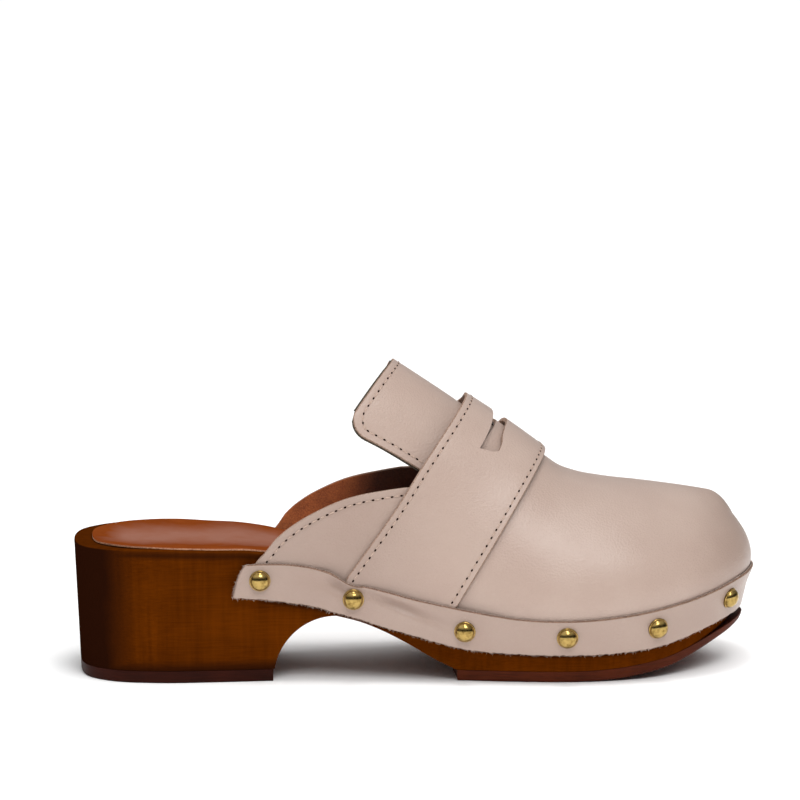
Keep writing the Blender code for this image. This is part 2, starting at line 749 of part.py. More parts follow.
def place_studs(finish, collection):
    """Six studs a side, standing square on the band's outer face."""
    head = stud_mesh()
    head.materials.append(finish)
    studs = []
    for name, side in (("outer", -1), ("inner", 1)):
        for number, (station, height) in enumerate(zip(STUDS["station"], STUDS["height"]), start=1):
            place = partner(side, station)
            drop = read(RAND, "bottom", edge(place)[0]) - read(RAND, "bottom", station)
            centre = rand_face(place, height + drop)
            ahead, behind = (rand_face(place + step, height + drop) for step in (STUD_RADIUS, -STUD_RADIUS))
            above, below = (rand_face(place, height + drop + step) for step in (STUD_RADIUS, -STUD_RADIUS))
            outward = Vector(np.cross(ahead - behind, above - below)).normalized()
            proud = max(0.0, *(float(np.dot(rim - centre, outward)) for rim in (ahead, behind, above, below)))
            stud = bpy.data.objects.new(f"stud_{name}_{number}", head)
            stud.location = Vector(centre) + outward * (proud + GAP)
            stud.rotation_euler = outward.to_track_quat("Z", "Y").to_euler()
            collection.objects.link(stud)
            studs.append(stud)
    return studs


def make_finish(name):
    """Principled material in the finish's colour, roughness and metallic value."""
    colour, roughness, metallic = FINISHES[name]
    finish = bpy.data.materials.new(name)
    finish.use_nodes = True
    shader = finish.node_tree.nodes["Principled BSDF"]
    shader.inputs["Base Color"].default_value = (*colour, 1.0)
    shader.inputs["Roughness"].default_value = roughness
    shader.inputs["Metallic"].default_value = metallic
    return finish


def stand_on_origin(pieces):
    """Parent every piece to an empty that centres the shoe over the origin, on its sole."""
    bpy.context.view_layer.update()
    points = [piece.matrix_world @ vert.co for piece in pieces for vert in piece.data.vertices]
    box = np.array(points)
    low, high = box.min(axis=0), box.max(axis=0)
    anchor = bpy.data.objects.new("shoe_anchor", None)
    anchor.location = (-(low[0] + high[0]) / 2, -(low[1] + high[1]) / 2, -low[2])
    pieces[0].users_collection[0].objects.link(anchor)
    for piece in pieces:
        piece.parent = anchor
    bpy.context.view_layer.update()


def main():
    for old in list(bpy.data.objects):
        bpy.data.objects.remove(old)
    collection = bpy.data.collections.new("clog_mule")
    bpy.context.scene.collection.children.link(collection)
    finish = {name: make_finish(name) for name in FINISHES}
    pieces = [
        add_object("wood_sole", wood_sole(), finish["dark_wood"], collection),
        add_object("heel_lift", heel_lift(), finish["black_brown_rubber"], collection),
        add_object("forefoot_outsole", forefoot_outsole(), finish["black_brown_rubber"], collection),
        add_object("sock", sock(), finish["tan_sock_leather"], collection),
        add_object("upper", upper(), finish["nude_leather"], collection),
        add_object("tongue", tongue(), finish["nude_leather"], collection),
        add_object("saddle_strap", saddle_strap(), finish["nude_leather"], collection),
        add_object("rand", rand(), finish["nude_leather"], collection),
    ]
    pieces += place_studs(finish["brass"], collection)
    stand_on_origin(pieces)


if __name__ == "__main__":
    main()
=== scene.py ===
"""Looks of a wooden-soled clog mule for the right foot.

Stations run along +X from the heel's back to the toe, heights run up +Z from the floor and the
outer side of the foot faces -Y. Lengths are metres. The tables repeat the sizes of the solids, and
every leather piece is drawn again on the same foot form with fine rows, round edges and creases.
"""
from __future__ import annotations

import logging
import math
from dataclasses import dataclass, field
from enum import Enum
from typing import Any, Callable

import bmesh
import bpy
import numpy as np
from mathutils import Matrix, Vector

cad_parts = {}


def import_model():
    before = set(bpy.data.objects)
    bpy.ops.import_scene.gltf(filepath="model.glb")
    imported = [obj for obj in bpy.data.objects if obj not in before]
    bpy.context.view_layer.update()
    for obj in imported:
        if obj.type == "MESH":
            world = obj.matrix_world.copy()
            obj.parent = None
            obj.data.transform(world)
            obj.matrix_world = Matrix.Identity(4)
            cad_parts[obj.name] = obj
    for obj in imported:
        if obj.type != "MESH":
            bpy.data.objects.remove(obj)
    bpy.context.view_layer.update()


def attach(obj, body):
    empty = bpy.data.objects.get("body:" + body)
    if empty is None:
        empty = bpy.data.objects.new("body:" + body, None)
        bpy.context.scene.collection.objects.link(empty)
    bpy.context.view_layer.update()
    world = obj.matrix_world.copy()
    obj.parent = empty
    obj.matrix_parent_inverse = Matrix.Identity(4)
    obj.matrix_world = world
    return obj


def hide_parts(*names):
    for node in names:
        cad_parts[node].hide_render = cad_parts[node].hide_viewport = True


LOG = logging.getLogger("clog_mule")
MM = 0.001
BODY = "root"
Array = np.ndarray
Colour = Place = tuple[float, float, float]
Lines = list[tuple[Array, Array]]
Pairs = list[tuple[float, float]]
Material, Mesh, Piece = bpy.types.Material, bpy.types.Mesh, bpy.types.Object

# Station and sideways place of the frame's origin, which the solids centre over their box
FRAME_ORIGIN = np.array((126.88182, -0.24346, 0.0)) * MM

# Points closer than this become one, and two layers of a sheet stay this far apart
WELD = 0.01 * MM
LAYER_GAP = 0.05 * MM

# Rows round an edge, and the angles in degrees from which an edge is drawn sharp
NOSE_ROWS = 5
SHARP_EDGE = 50.0
SOLE_SHARP = 40.0


class Side(Enum):
    """Side of the foot, by the sign of its Y."""

    OUTER = -1
    INNER = 1


class Face(Enum):
    """Faces of a leather sheet, by material index."""

    GRAIN = 0
    CUT = 1
    FLESH = 2


class Slot(Enum):
    """Names of the material slots of the shoe's finishes."""

    LEATHER = "upper_leather"
    WOOD = "wood"
    RUBBER = "rubber"
    SOCK = "sock_leather"
    BRASS = "brass"


def smoothstep(value: Array | float) -> Array:
    """Ease from 0 to 1."""
    part = np.clip(value, 0.0, 1.0)
    return part * part * (3.0 - 2.0 * part)


def bell(value: Array) -> Array:
    """Soft bump of height 1 that fades at about twice its width."""
    return np.exp(-np.square(value))


@dataclass(frozen=True)
class Fade:
    """Soft rise from 0 to 1 that begins at a place and takes a length."""

    start: float
    length: float

    def at(self, place: Array) -> Array:
        """Height of the rise at places."""
        return smoothstep((place - self.start) / self.length)


@dataclass(frozen=True)
class Stripe:
    """Soft stripe of a strength that lies a little below a line."""

    strength: float
    below: float
    width: float

    def at(self, height: Array) -> Array:
        """Strength of the stripe at heights over the line."""
        return self.strength * bell((height + self.below) / self.width)


def hermite(knots: Array, values: Array, at: Array | float) -> Array:
    """Read a smooth curve through knots.

    Args:
        knots: rising places of the curve's points.
        values: heights of the points.
        at: places to read.

    Returns:
        The curve's heights there.
    """
    at = np.clip(at, knots[0], knots[-1])
    slope = np.gradient(values, knots)
    low = np.clip(np.searchsorted(knots, at) - 1, 0, len(knots) - 2)
    span = knots[low + 1] - knots[low]
    part = (at - knots[low]) / span
    ease = part * part * (3.0 - 2.0 * part)
    leave = part * (1.0 - part) ** 2 * span * slope[low]
    arrive = part * part * (part - 1.0) * span * slope[low + 1]
    return values[low] * (1.0 - ease) + values[low + 1] * ease + leave + arrive


class Table:
    """Named columns of a short table, read smoothly at any station."""

    def __init__(self, names: str, *rows: tuple[float, ...]) -> None:
        """Keep the rows as columns.

        Args:
            names: names of the lengths in millimetres, then of plain ratios after a bar.
            rows: the rows, in the order of the names.
        """
        lengths, _, ratios = names.partition("|")
        scale = [MM] * len(lengths.split()) + [1.0] * len(ratios.split())
        values = np.array(rows, dtype=float) * scale
        keys = lengths.split() + ratios.split()
        self.columns = {key: values[:, index] for index, key in enumerate(keys)}

    def __getitem__(self, name: str) -> Array:
        """One whole column."""
        return self.columns[name]

    def at(self, name: str, station: Array | float) -> Array:
        """One column at a station."""
        return hermite(self.columns["station"], self.columns[name], station)


# Half-widths of the sole's top edge
OUTLINE = Table(
    "station outer inner",
    (3.6, 18.2, 18.2),
    (12.0, 26.5, 26.5),
    (30.0, 31.8, 31.0),
    (50.0, 32.2, 30.5),
    (72.0, 31.4, 28.0),
    (95.0, 31.6, 26.0),
    (118.0, 33.2, 27.5),
    (140.0, 37.0, 33.0),
    (160.0, 41.2, 39.0),
    (178.0, 43.5, 43.0),
    (195.0, 43.3, 44.0),
    (212.0, 39.8, 41.2),
    (226.0, 33.2, 34.6),
    (237.0, 24.4, 25.6),
    (244.5, 14.6, 15.4),
)

# Foot form: the sole's top edge, the forward lean of a section on each side, bulge, squareness, side taper
LAST = Table(
    "station feather outer_lean inner_lean bulge | fullness taper",
    (0.0, 49.6, 43.0, 35.5, 0.0, 2.6, 0.045),
    (30.0, 49.9, 43.0, 35.5, 0.0, 2.6, 0.045),
    (50.0, 49.3, 43.0, 35.5, 0.0, 2.6, 0.045),
    (65.0, 48.8, 43.0, 35.5, 0.0, 2.6, 0.045),
    (80.0, 46.0, 43.0, 35.5, 0.0, 2.6, 0.050),
    (100.0, 37.8, 43.0, 36.5, 0.3, 2.5, 0.060),
    (120.0, 30.6, 38.0, 35.0, 0.6, 2.4, 0.080),
    (141.0, 25.2, 31.0, 30.3, 0.9, 2.4, 0.110),
    (160.0, 22.2, 23.0, 23.0, 1.2, 2.3, 0.130),
    (180.0, 20.8, 15.0, 15.0, 1.5, 2.25, 0.140),
    (200.0, 21.8, 7.0, 7.0, 1.7, 2.2, 0.150),
    (215.0, 23.8, 1.0, 1.0, 2.0, 2.1, 0.160),
    (230.0, 27.0, -2.0, -2.0, 2.3, 2.05, 0.190),
    (240.0, 29.8, -7.5, -7.5, 2.6, 2.0, 0.215),
    (248.5, 32.5, -13.0, -13.0, 2.8, 2.0, 0.230),
)

# Height of the foot form along its ridge
RIDGE = Table(
    "station height",
    (100.0, 124.0),
    (116.5, 114.2),
    (142.0, 98.5),
    (160.0, 86.3),
    (174.0, 75.8),
    (179.0, 72.2),
    (186.5, 69.2),
    (197.0, 67.0),
    (215.5, 64.8),
    (236.0, 62.0),
    (248.5, 60.2),
)

# Underside of the wood from the top of its arch to the forefoot
ARCH = Table(
    "station height",
    (95.0, 24.2),
    (104.0, 21.8),
    (112.6, 18.2),
    (120.5, 14.0),
    (131.8, 7.4),
    (138.5, 4.1),
)

# Underside of the forefoot's rubber, how far its lip stands out, and its rounded lower edge
TOE_SPRING = Table(
    "station height lip roll",
    (138.5, 0.0, 0.0, 0.8),
    (170.0, 0.0, 0.0, 0.8),
    (181.0, 0.0, 0.0, 0.8),
    (205.0, 1.6, 0.0, 0.9),
    (220.0, 4.2, 0.0, 1.0),
    (232.0, 8.0, 0.5, 1.6),
    (240.0, 11.0, 1.6, 2.2),
    (245.0, 13.0, 3.0, 2.8),
    (248.5, 14.5, 4.3, 3.2),
)

# How far the foot bed's cover is set in from the wood's rim
SOCK_INSET = Table(
    "station outer inner",
    (0.0, 6.7, 6.7),
    (10.0, 5.6, 5.6),
    (22.0, 3.0, 3.6),
    (34.0, 1.2, 2.0),
    (42.0, 0.9, 1.6),
    (52.0, 0.8, 3.2),
    (62.0, 0.8, 4.4),
    (76.0, 0.8, 4.8),
    (100.0, 1.2, 4.4),
    (130.0, 1.4, 2.6),
    (190.0, 1.4, 1.4),
    (215.0, 2.4, 2.4),
    (240.0, 3.4, 3.4),
    # Painted shade on the leather, darker low at the rear and round the toe's tip: how much, and where that
    # begins
    (248.5, 3.4, 3.4),
)

# Band round the sole's edge
BAND = Table(
    "station top bottom",
    (50.0, 43.9, 33.0),
    # Mark painted shade on the leather: darker low at the rear, and round the tip of the toe.
    (57.0, 44.4, 32.3),
    (68.0, 44.7, 31.4),
    (78.0, 44.4, 30.0),
    (88.0, 42.7, 28.3),
    (92.0, 41.5, 27.2),
    (96.0, 39.4, 26.2),
    (98.8, 37.7, 25.5),
    (101.0, 36.8, 24.9),
    (105.0, 36.2, 23.6),
    (112.0, 34.4, 21.3),
    # painted shade: darker low at the rear and round the tip of the toe
    (123.0, 31.3, 18.3),
    (134.0, 28.9, 15.3),
    (142.0, 27.4, 13.5),
    (150.0, 26.0, 12.5),
    (160.0, 24.7, 11.8),
    (179.0, 24.3, 11.4),
    (195.0, 25.5, 11.8),
    (213.0, 28.0, 13.5),
    (230.0, 31.7, 18.0),
    (241.0, 35.0, 20.8),
    (248.5, 37.2, 22.2),
# slot: not used.
)

# Collar of the upper: height of its edge as a share of the section's turn
COLLAR = Table(
    "station | turn",
    (63.7, -0.55),
    (65.4, -0.28),
    (67.2, -0.108),
    (69.0, 0.009),
    (70.4, 0.0356),
    (72.2, 0.058),
    (77.6, 0.115),
    (83.8, 0.178),
    (90.8, 0.242),
    (97.0, 0.298),
    (102.5, 0.345),
    (108.0, 0.47),
    (112.0, 0.64),
    (115.0, 0.83),
    (116.5, 1.00),
)

# Saddle strap's edges up the section's turn, and the edges of the slot across its crest
STRAP = Table(
    "rear front | turn",
    (98.3, 137.5, 0.0),
    (98.5, 137.9, 0.2),
    (97.9, 138.4, 0.4),
    (98.2, 139.0, 0.6),
    (99.0, 140.0, 0.8),
    (100.2, 141.5, 1.0),
)
SLOT = Table(
    "rear front | turn",
    (113.0, 120.8, 0.61),
    (113.0, 120.4, 0.70),
    (113.0, 119.3, 0.76),
    (112.7, 119.1, 0.85),
    (112.3, 120.2, 1.0),
)

# Domed studs on each side, from the heel end to the toe
STUDS = Table(
    "station height",
    (66.8, 38.7),
    (101.2, 31.8),
    (142.2, 20.4),
    (178.4, 18.3),
    (210.9, 20.7),
    (239.0, 28.0),
)


def srgb(red: float, green: float, blue: float) -> Colour:
    """Linear colour of a screen colour.

    Args:
        red: red from 0 to 255.
        green: green from 0 to 255.
        blue: blue from 0 to 255.

    Returns:
        The colour's linear parts from 0 to 1.
    """
    parts = (value / 255.0 for value in (red, green, blue))
    return tuple(p / 12.92 if p <= 0.04045 else ((p + 0.055) / 1.055) ** 2.4 for p in parts)


@dataclass
class FootForm:
    """The last: the smooth form that the leather lies on, over the outline of the sole."""

    length: float = 248.5 * MM
    margin_cover: float = 2.5 * MM
    bulge_top: float = 0.75
    bulge_skew: float = 0.85
    loop_points: int = 1400
    probe: float = 0.4 * MM
    probe_turn: float = 0.004
    loop: dict[str, Array] = field(init=False)
    tip: float = field(init=False)

    def __post_init__(self) -> None:
        """Draw the loop of the sole's top edge once."""
        halves = []
        for side, name in ((Side.OUTER, "outer"), (Side.INNER, "inner")):
            width = OUTLINE[name] * side.value
            rows = OUTLINE["station"]
            x = np.concatenate(([rows[0], 0.0], rows, [self.length, rows[-1]]))
            y = np.concatenate(([-width[0], 0.0], width, [0.0, -width[-1]]))
            knots = np.concatenate(([0.0], np.cumsum(np.hypot(np.diff(x), np.diff(y)))))
            fine = np.linspace(knots[1], knots[-2], self.loop_points)
            halves.append((hermite(knots, x, fine), hermite(knots, y, fine)))
        (outer_x, outer_y), (inner_x, inner_y) = halves
        x = np.concatenate((outer_x, inner_x[-2::-1]))
        y = np.concatenate((outer_y, inner_y[-2::-1]))
        place = np.concatenate(([0.0], np.cumsum(np.hypot(np.diff(x), np.diff(y)))))
        along_x, along_y = np.gradient(x, place), np.gradient(y, place)
        size = np.hypot(along_x, along_y)
        self.loop = {"place": place, "x": x, "y": y, "nx": along_y / size, "ny": -along_x / size}
        self.tip = float(place[self.loop_points - 1])

    def edge(self, place: Array) -> list[Array]:
        """Station, sideways place and outward normal of the sole's top edge at a loop position."""
        return [np.interp(place, self.loop["place"], self.loop[name]) for name in ("x", "y", "nx", "ny")]

    def half(self, side: Side) -> slice:
        """The loop's points on one side, from the heel to the toe."""
        turn = self.loop_points - 1
        return slice(0, turn + 1) if side is Side.OUTER else slice(None, turn - 1, -1)

    def loop_place(self, side: Side, station: Array | float) -> Array:
        """Loop position of a station on one side."""
        part = self.half(side)
        return np.interp(station, self.loop["x"][part], self.loop["place"][part])

    def lean(self, place: Array) -> Array:
        """Forward lean of the section that rises from a loop position."""
        x = self.edge(place)[0]
        return np.where(place <= self.tip, LAST.at("outer_lean", x), LAST.at("inner_lean", x))

    def crest(self, place: Array) -> Array:
        """Station where that section meets the ridge."""
        return self.edge(place)[0] + self.lean(place)

    def partner(self, side: Side, station: Array | float) -> Array:
        """Loop position on a side of the section that meets the ridge with an outer station."""
        outer = self.loop_place(Side.OUTER, station)
        if side is Side.OUTER:
            return outer
        inner = self.loop["place"][self.half(Side.INNER)]
        return np.interp(self.crest(outer), self.crest(inner), inner)

    def margin_depth(self, station: Array) -> Array:
        """How far the upper runs down the sole's side, out of sight under the band."""
        return LAST.at("feather", station) - BAND.at("bottom", station) - self.margin_cover

    def form(self, place: Array, turn: Array) -> Array:
        """Point of the foot form.

        Args:
            place: loop positions.
            turn: -1 at the margin's lower edge, 0 at the sole's top edge, 1 at the ridge.

        Returns:
            Points in stations.
        """
        x, y, nx, ny = self.edge(place)
        feather = LAST.at("feather", x)
        ahead = self.lean(place)
        power = 2.0 / LAST.at("fullness", x)
        angle = np.clip(turn, 0.0, 1.0) * math.pi / 2
        rise = np.sin(angle) ** power
        inward = 1.0 - np.clip(np.cos(angle), 0.0, 1.0) ** power
        run = np.where(ahead > 0.0, ahead * rise, ahead * inward)
        ridge = RIDGE.at("height", x + np.where(ahead > 0.0, ahead, run))
        depth = self.margin_depth(x) * np.minimum(turn, 0.0)
        swell = np.sin(math.pi * np.minimum(rise / self.bulge_top, 1.0) ** self.bulge_skew)
        out = LAST.at("bulge", x) * swell + LAST.at("taper", x) * depth
        z = feather + depth + (ridge - feather) * rise
        return np.stack((x + run + nx * out, y * (1.0 - inward) + ny * out, z), axis=-1)

    def normal(self, place: Array, turn: Array) -> Array:
        """Outward normal of the foot form."""
        place, turn = np.broadcast_arrays(place, turn)
        along = self.form(place + self.probe, turn) - self.form(place - self.probe, turn)
        higher = np.minimum(turn + self.probe_turn, 1.0)
        upward = self.form(place, higher) - self.form(place, turn - self.probe_turn)
        normal = np.cross(along, upward)
        station = self.crest(place)
        fall = RIDGE.at("height", station + self.probe) - RIDGE.at("height", station - self.probe)
        upright = np.stack((-fall / (2 * self.probe), np.zeros_like(fall), np.ones_like(fall)), axis=-1)
        normal = np.where((turn > 1.0 - self.probe_turn / 4)[..., None], upright, normal)
        return normal / np.maximum(np.linalg.norm(normal, axis=-1, keepdims=True), 1e-15)

    def skin(self, place: Array, turn: Array, lift: Array | float) -> Array:
        """Point in the frame that stands a lift outwards from the foot form."""
        place, turn, lift = np.broadcast_arrays(place, turn, lift)
        return self.form(place, turn) + self.normal(place, turn) * lift[..., None] - FRAME_ORIGIN

    def turn_at(self, place: Array, height: Array) -> Array:
        """Turn of the foot form at a height near the sole's edge."""
        x = self.edge(place)[0]
        feather = LAST.at("feather", x)
        ridge = RIDGE.at("height", x + np.maximum(self.lean(place), 0.0))
        rise = np.clip((height - feather) / (ridge - feather), 0.0, 1.0)
        upper = np.arcsin(rise ** (LAST.at("fullness", x) / 2.0)) / (math.pi / 2)
        return np.where(height > feather, upper, (height - feather) / self.margin_depth(x))

    def inset(self, place: Array, turn: Array, distance: float) -> tuple[Array, Array]:
        """Move a line sideways within the surface.

        Args:
            place: the line's loop positions.
            turn: the line's turns.
            distance: how far it moves, to its left seen from outside.

        Returns:
            The moved line's loop positions and turns.
        """
        here = self.form(place, turn)
        step = self.probe_turn
        run = (self.form(place + self.probe, turn) - self.form(place - self.probe, turn)) / (2 * self.probe)
        climb = (self.form(place, turn + step) - self.form(place, turn - step)) / (2 * step)
        aside = np.cross(np.cross(run, climb), np.gradient(here, axis=0))
        move = aside / np.linalg.norm(aside, axis=-1, keepdims=True) * distance
        a, b, c = ((run * run).sum(-1), (run * climb).sum(-1), (climb * climb).sum(-1))
        p, q = (run * move).sum(-1), (climb * move).sum(-1)
        scale = a * c - b * b
        return place + (p * c - q * b) / scale, turn + (q * a - p * b) / scale

    def even_turns(self, station: float, low: float, high: float, step: float) -> Array:
        """Turns up the outer side of one section, evenly spaced along its girth.

        Args:
            station: the section's station.
            low: first turn.
            high: last turn.
            step: spacing to aim at.

        Returns:
            Rising turns, both ends among them.
        """
        fine = np.linspace(low, high, 600)
        points = self.form(np.full_like(fine, self.loop_place(Side.OUTER, station)), fine)
        girth = np.concatenate(([0.0], np.cumsum(np.linalg.norm(np.diff(points, axis=0), axis=1))))
        count = max(2, int(round(girth[-1] / step)) + 1)
        return np.interp(np.linspace(0.0, girth[-1], count), girth, fine)


@dataclass(frozen=True)
class Crease:
    """A soft trough, or a ridge where its depth is negative, laid on a sheet.

    Its middle and reach are in the sheet's own sizes: along the sheet, then across it.
    """

    along: float
    across: float
    length: float
    width: float
    depth: float
    slope: float = 0.0

    def sink(self, along: Array, across: Array) -> Array:
        """How far the sheet sinks at places along and across it."""
        offset = across - self.across - self.slope * (along - self.along)
        return self.depth * bell((along - self.along) / self.length) * bell(offset / self.width)


def rounded_rows(size: float, step: float, radii: tuple[float, float]) -> tuple[Array, Array]:
    """Places across a sheet, close together where its edges are rounded.

    Args:
        size: the sheet's width.
        step: spacing between the edges.
        radii: radius of the first and of the last edge, nothing where it stays square.

    Returns:
        Distances from the first edge, and how far the face drops at each.
    """
    angle = np.linspace(0.0, math.pi / 2, NOSE_ROWS)
    noses = [radius * (1.0 - np.cos(angle)) if radius else np.zeros(1) for radius in radii]
    falls = [radius * (1.0 - np.sin(angle)) if radius else np.zeros(1) for radius in radii]
    first, last = noses[0], size - noses[1][::-1]
    count = max(2, int(round((last[0] - first[-1]) / step)) + 1)
    body = np.linspace(first[-1], last[0], count)[1:-1]
    places = np.concatenate((first, body, last))
    return places, np.concatenate((falls[0], np.zeros(len(body)), falls[1][::-1]))


def cut_cells(drop: Array) -> Array:
    """Cells of a grid that lie on a rounded edge, where the cut leather shows."""
    mean = (drop[:-1, :-1] + drop[1:, :-1] + drop[:-1, 1:] + drop[1:, 1:]) / 4.0
    return mean > 2 * WELD


def over_the_ridge(climb: Array) -> tuple[list[Side], Array]:
    """Rows that climb from the outer edge to the ridge and go down the inner side.

    Args:
        climb: rising turns that end at the ridge.

    Returns:
        The side and the turn of each row.
    """
    turn = np.concatenate((climb, climb[-2::-1]))
    return [Side.OUTER if row < len(climb) else Side.INNER for row in range(len(turn))], turn


def ripple(place: Array, waves: tuple[float, ...], seed: int) -> Array:
    """Uneven line of about unit height, the same each run.

    Args:
        place: places along the line.
        waves: wavelengths that are added up.
        seed: seed of the waves' phases.

    Returns:
        Height at each place.
    """
    phases = np.random.default_rng(seed).uniform(0.0, 2 * math.pi, len(waves))
    return sum(np.sin(2 * math.pi * place / wave + phase) for wave, phase in zip(waves, phases)) / len(waves)


def link(name: str, data: bpy.types.ID) -> Piece:
    """Put a mesh, light or camera into the scene at the origin."""
    made_object = bpy.data.objects.new(name, data)
    bpy.context.scene.collection.objects.link(made_object)
    return made_object


def mesh_object(name: str, mesh: Mesh, materials: list[Material]) -> Piece:
    """Link a finished mesh with its materials."""
    for material in materials:
        mesh.materials.append(material)
    return link(name, mesh)


def finished(name: str, shape: bmesh.types.BMesh, sharp: float) -> Mesh:
    """Mesh of a closed shape, faces outwards and smooth up to a sharp angle."""
    bmesh.ops.recalc_face_normals(shape, faces=shape.faces)
    mesh = bpy.data.meshes.new(name)
    shape.to_mesh(mesh)
    shape.free()
    mesh.shade_smooth()
    mesh.set_sharp_from_angle(angle=math.radians(sharp))
    return mesh


def leather_sheet(name: str, low: Array, high: Array, hole: Array | None = None,
                  cut: Array | None = None) -> Mesh:
    """Closed sheet between two grids of points.

    Args:
        name: the mesh's name.
        low: points of the flesh side, in rows.
        high: points of the grain side, in the same rows.
        hole: grid cells that are left open.
        cut: grid cells of the grain side that show the cut leather.

    Returns:
        The mesh, with its faces marked by the materials of Face.
    """
    rows, count = low.shape[:2]
    shape = bmesh.new()
    number = shape.verts.layers.int.new("number")
    cell = shape.faces.layers.int.new("cell")
    verts = [shape.verts.new(point) for point in low.reshape(-1, 3)]
    for index, vert in enumerate(verts):
        vert[number] = index
    for row in range(rows - 1):
        for column in range(count - 1):
            if hole is None or not hole[row, column]:
                corner = row * count + column
                loop = (corner, corner + 1, corner + count + 1, corner + count)
                face = shape.faces.new([verts[index] for index in loop])
                face[cell] = row * (count - 1) + column
                face.material_index = Face.FLESH.value
    bmesh.ops.delete(shape, geom=[v for v in shape.verts if not v.link_faces], context="VERTS")
    bmesh.ops.remove_doubles(shape, verts=shape.verts, dist=WELD)
    flesh = set(shape.faces)
    raised = bmesh.ops.extrude_face_region(shape, geom=shape.faces[:])["geom"]
    grain = {item for item in raised if isinstance(item, bmesh.types.BMFace)}
    far_side = high.reshape(-1, 3)
    for vert in (item for item in raised if isinstance(item, bmesh.types.BMVert)):
        vert.co = far_side[vert[number]]
    shows_cut = None if cut is None else cut.reshape(-1)
    for face in shape.faces:
        if face in grain:
            rough = shows_cut is not None and shows_cut[face[cell]]
            face.material_index = Face.CUT.value if rough else Face.GRAIN.value
        elif face not in flesh:
            face.material_index = Face.CUT.value
    return finished(name, shape, SHARP_EDGE)


def operator(operation: str, swapped: bool = False) -> Callable[["Wire", Any], "Wire"]:
    """Operator method of a wire.

    Args:
        operation: the Math node's operation.
        swapped: the wire stands on the right.

    Returns:
        The method.
    """

    def method(wire: "Wire", other: Any) -> "Wire":
        return wire.math(operation, other, wire) if swapped else wire.math(operation, wire, other)

    return method


class Wire:
    """An output socket that takes part in Python expressions."""

    __add__ = operator("ADD")
    __radd__ = operator("ADD", True)
    __sub__ = operator("SUBTRACT")
    __rsub__ = operator("SUBTRACT", True)
    __mul__ = operator("MULTIPLY")
    __truediv__ = operator("DIVIDE")
    __mod__ = operator("MODULO")

    def __init__(self, graph: "Graph", socket: bpy.types.NodeSocket) -> None:
        """Wrap a socket of a graph."""
        self.graph = graph
        self.socket = socket

    def math(self, operation: str, first: Any, second: Any) -> "Wire":
        """Result of a Math node."""
        return self.graph.node("ShaderNodeMath", {"operation": operation}, {0: first, 1: second})

    def output(self, name: str) -> "Wire":
        """Another output of the same node."""
        return Wire(self.graph, self.graph.socket(self.socket.node.outputs, name))


class Graph:
    """A node tree that is written as Python expressions."""

    def __init__(self, tree: bpy.types.NodeTree) -> None:
        """Start on a tree."""
        self.tree = tree

    @staticmethod
    def socket(sockets: Any, key: int | str) -> bpy.types.NodeSocket:
        """Find a socket by its number, its identifier or its name."""
        if isinstance(key, int):
            return sockets[key]
        return next((item for item in sockets if item.identifier == key), None) or sockets[key]

    def feed(self, socket: bpy.types.NodeSocket, value: Any) -> None:
        """Link a wire to an input, or set its value."""
        if isinstance(value, Wire):
            self.tree.links.new(value.socket, socket)
        else:
            socket.default_value = value

    def node(self, kind: str, settings: dict[str, Any] | None = None,
             inputs: dict[int | str, Any] | None = None, output: int | str = 0) -> Wire:
        """Add a node.

        Args:
            kind: the node's type.
            settings: its own settings; stops are those of a colour ramp.
            inputs: values or wires of its inputs.
            output: the output that the wire stands for.

        Returns:
            The wire of that output.
        """
        made = self.tree.nodes.new(kind)
        for name, value in (settings or {}).items():
            if name == "stops":
                self.set_stops(made.color_ramp, value)
            else:
                setattr(made, name, value)
        for key, value in (inputs or {}).items():
            self.feed(self.socket(made.inputs, key), value)
        return Wire(self, self.socket(made.outputs, output))

    @staticmethod
    def set_stops(ramp: bpy.types.ColorRamp, stops: Pairs) -> None:
        """Set a ramp's stops from places and grey values."""
        while len(ramp.elements) < len(stops):
            ramp.elements.new(1.0)
        for element, (place, value) in zip(ramp.elements, stops):
            element.position = place
            element.color = (value, value, value, 1.0)


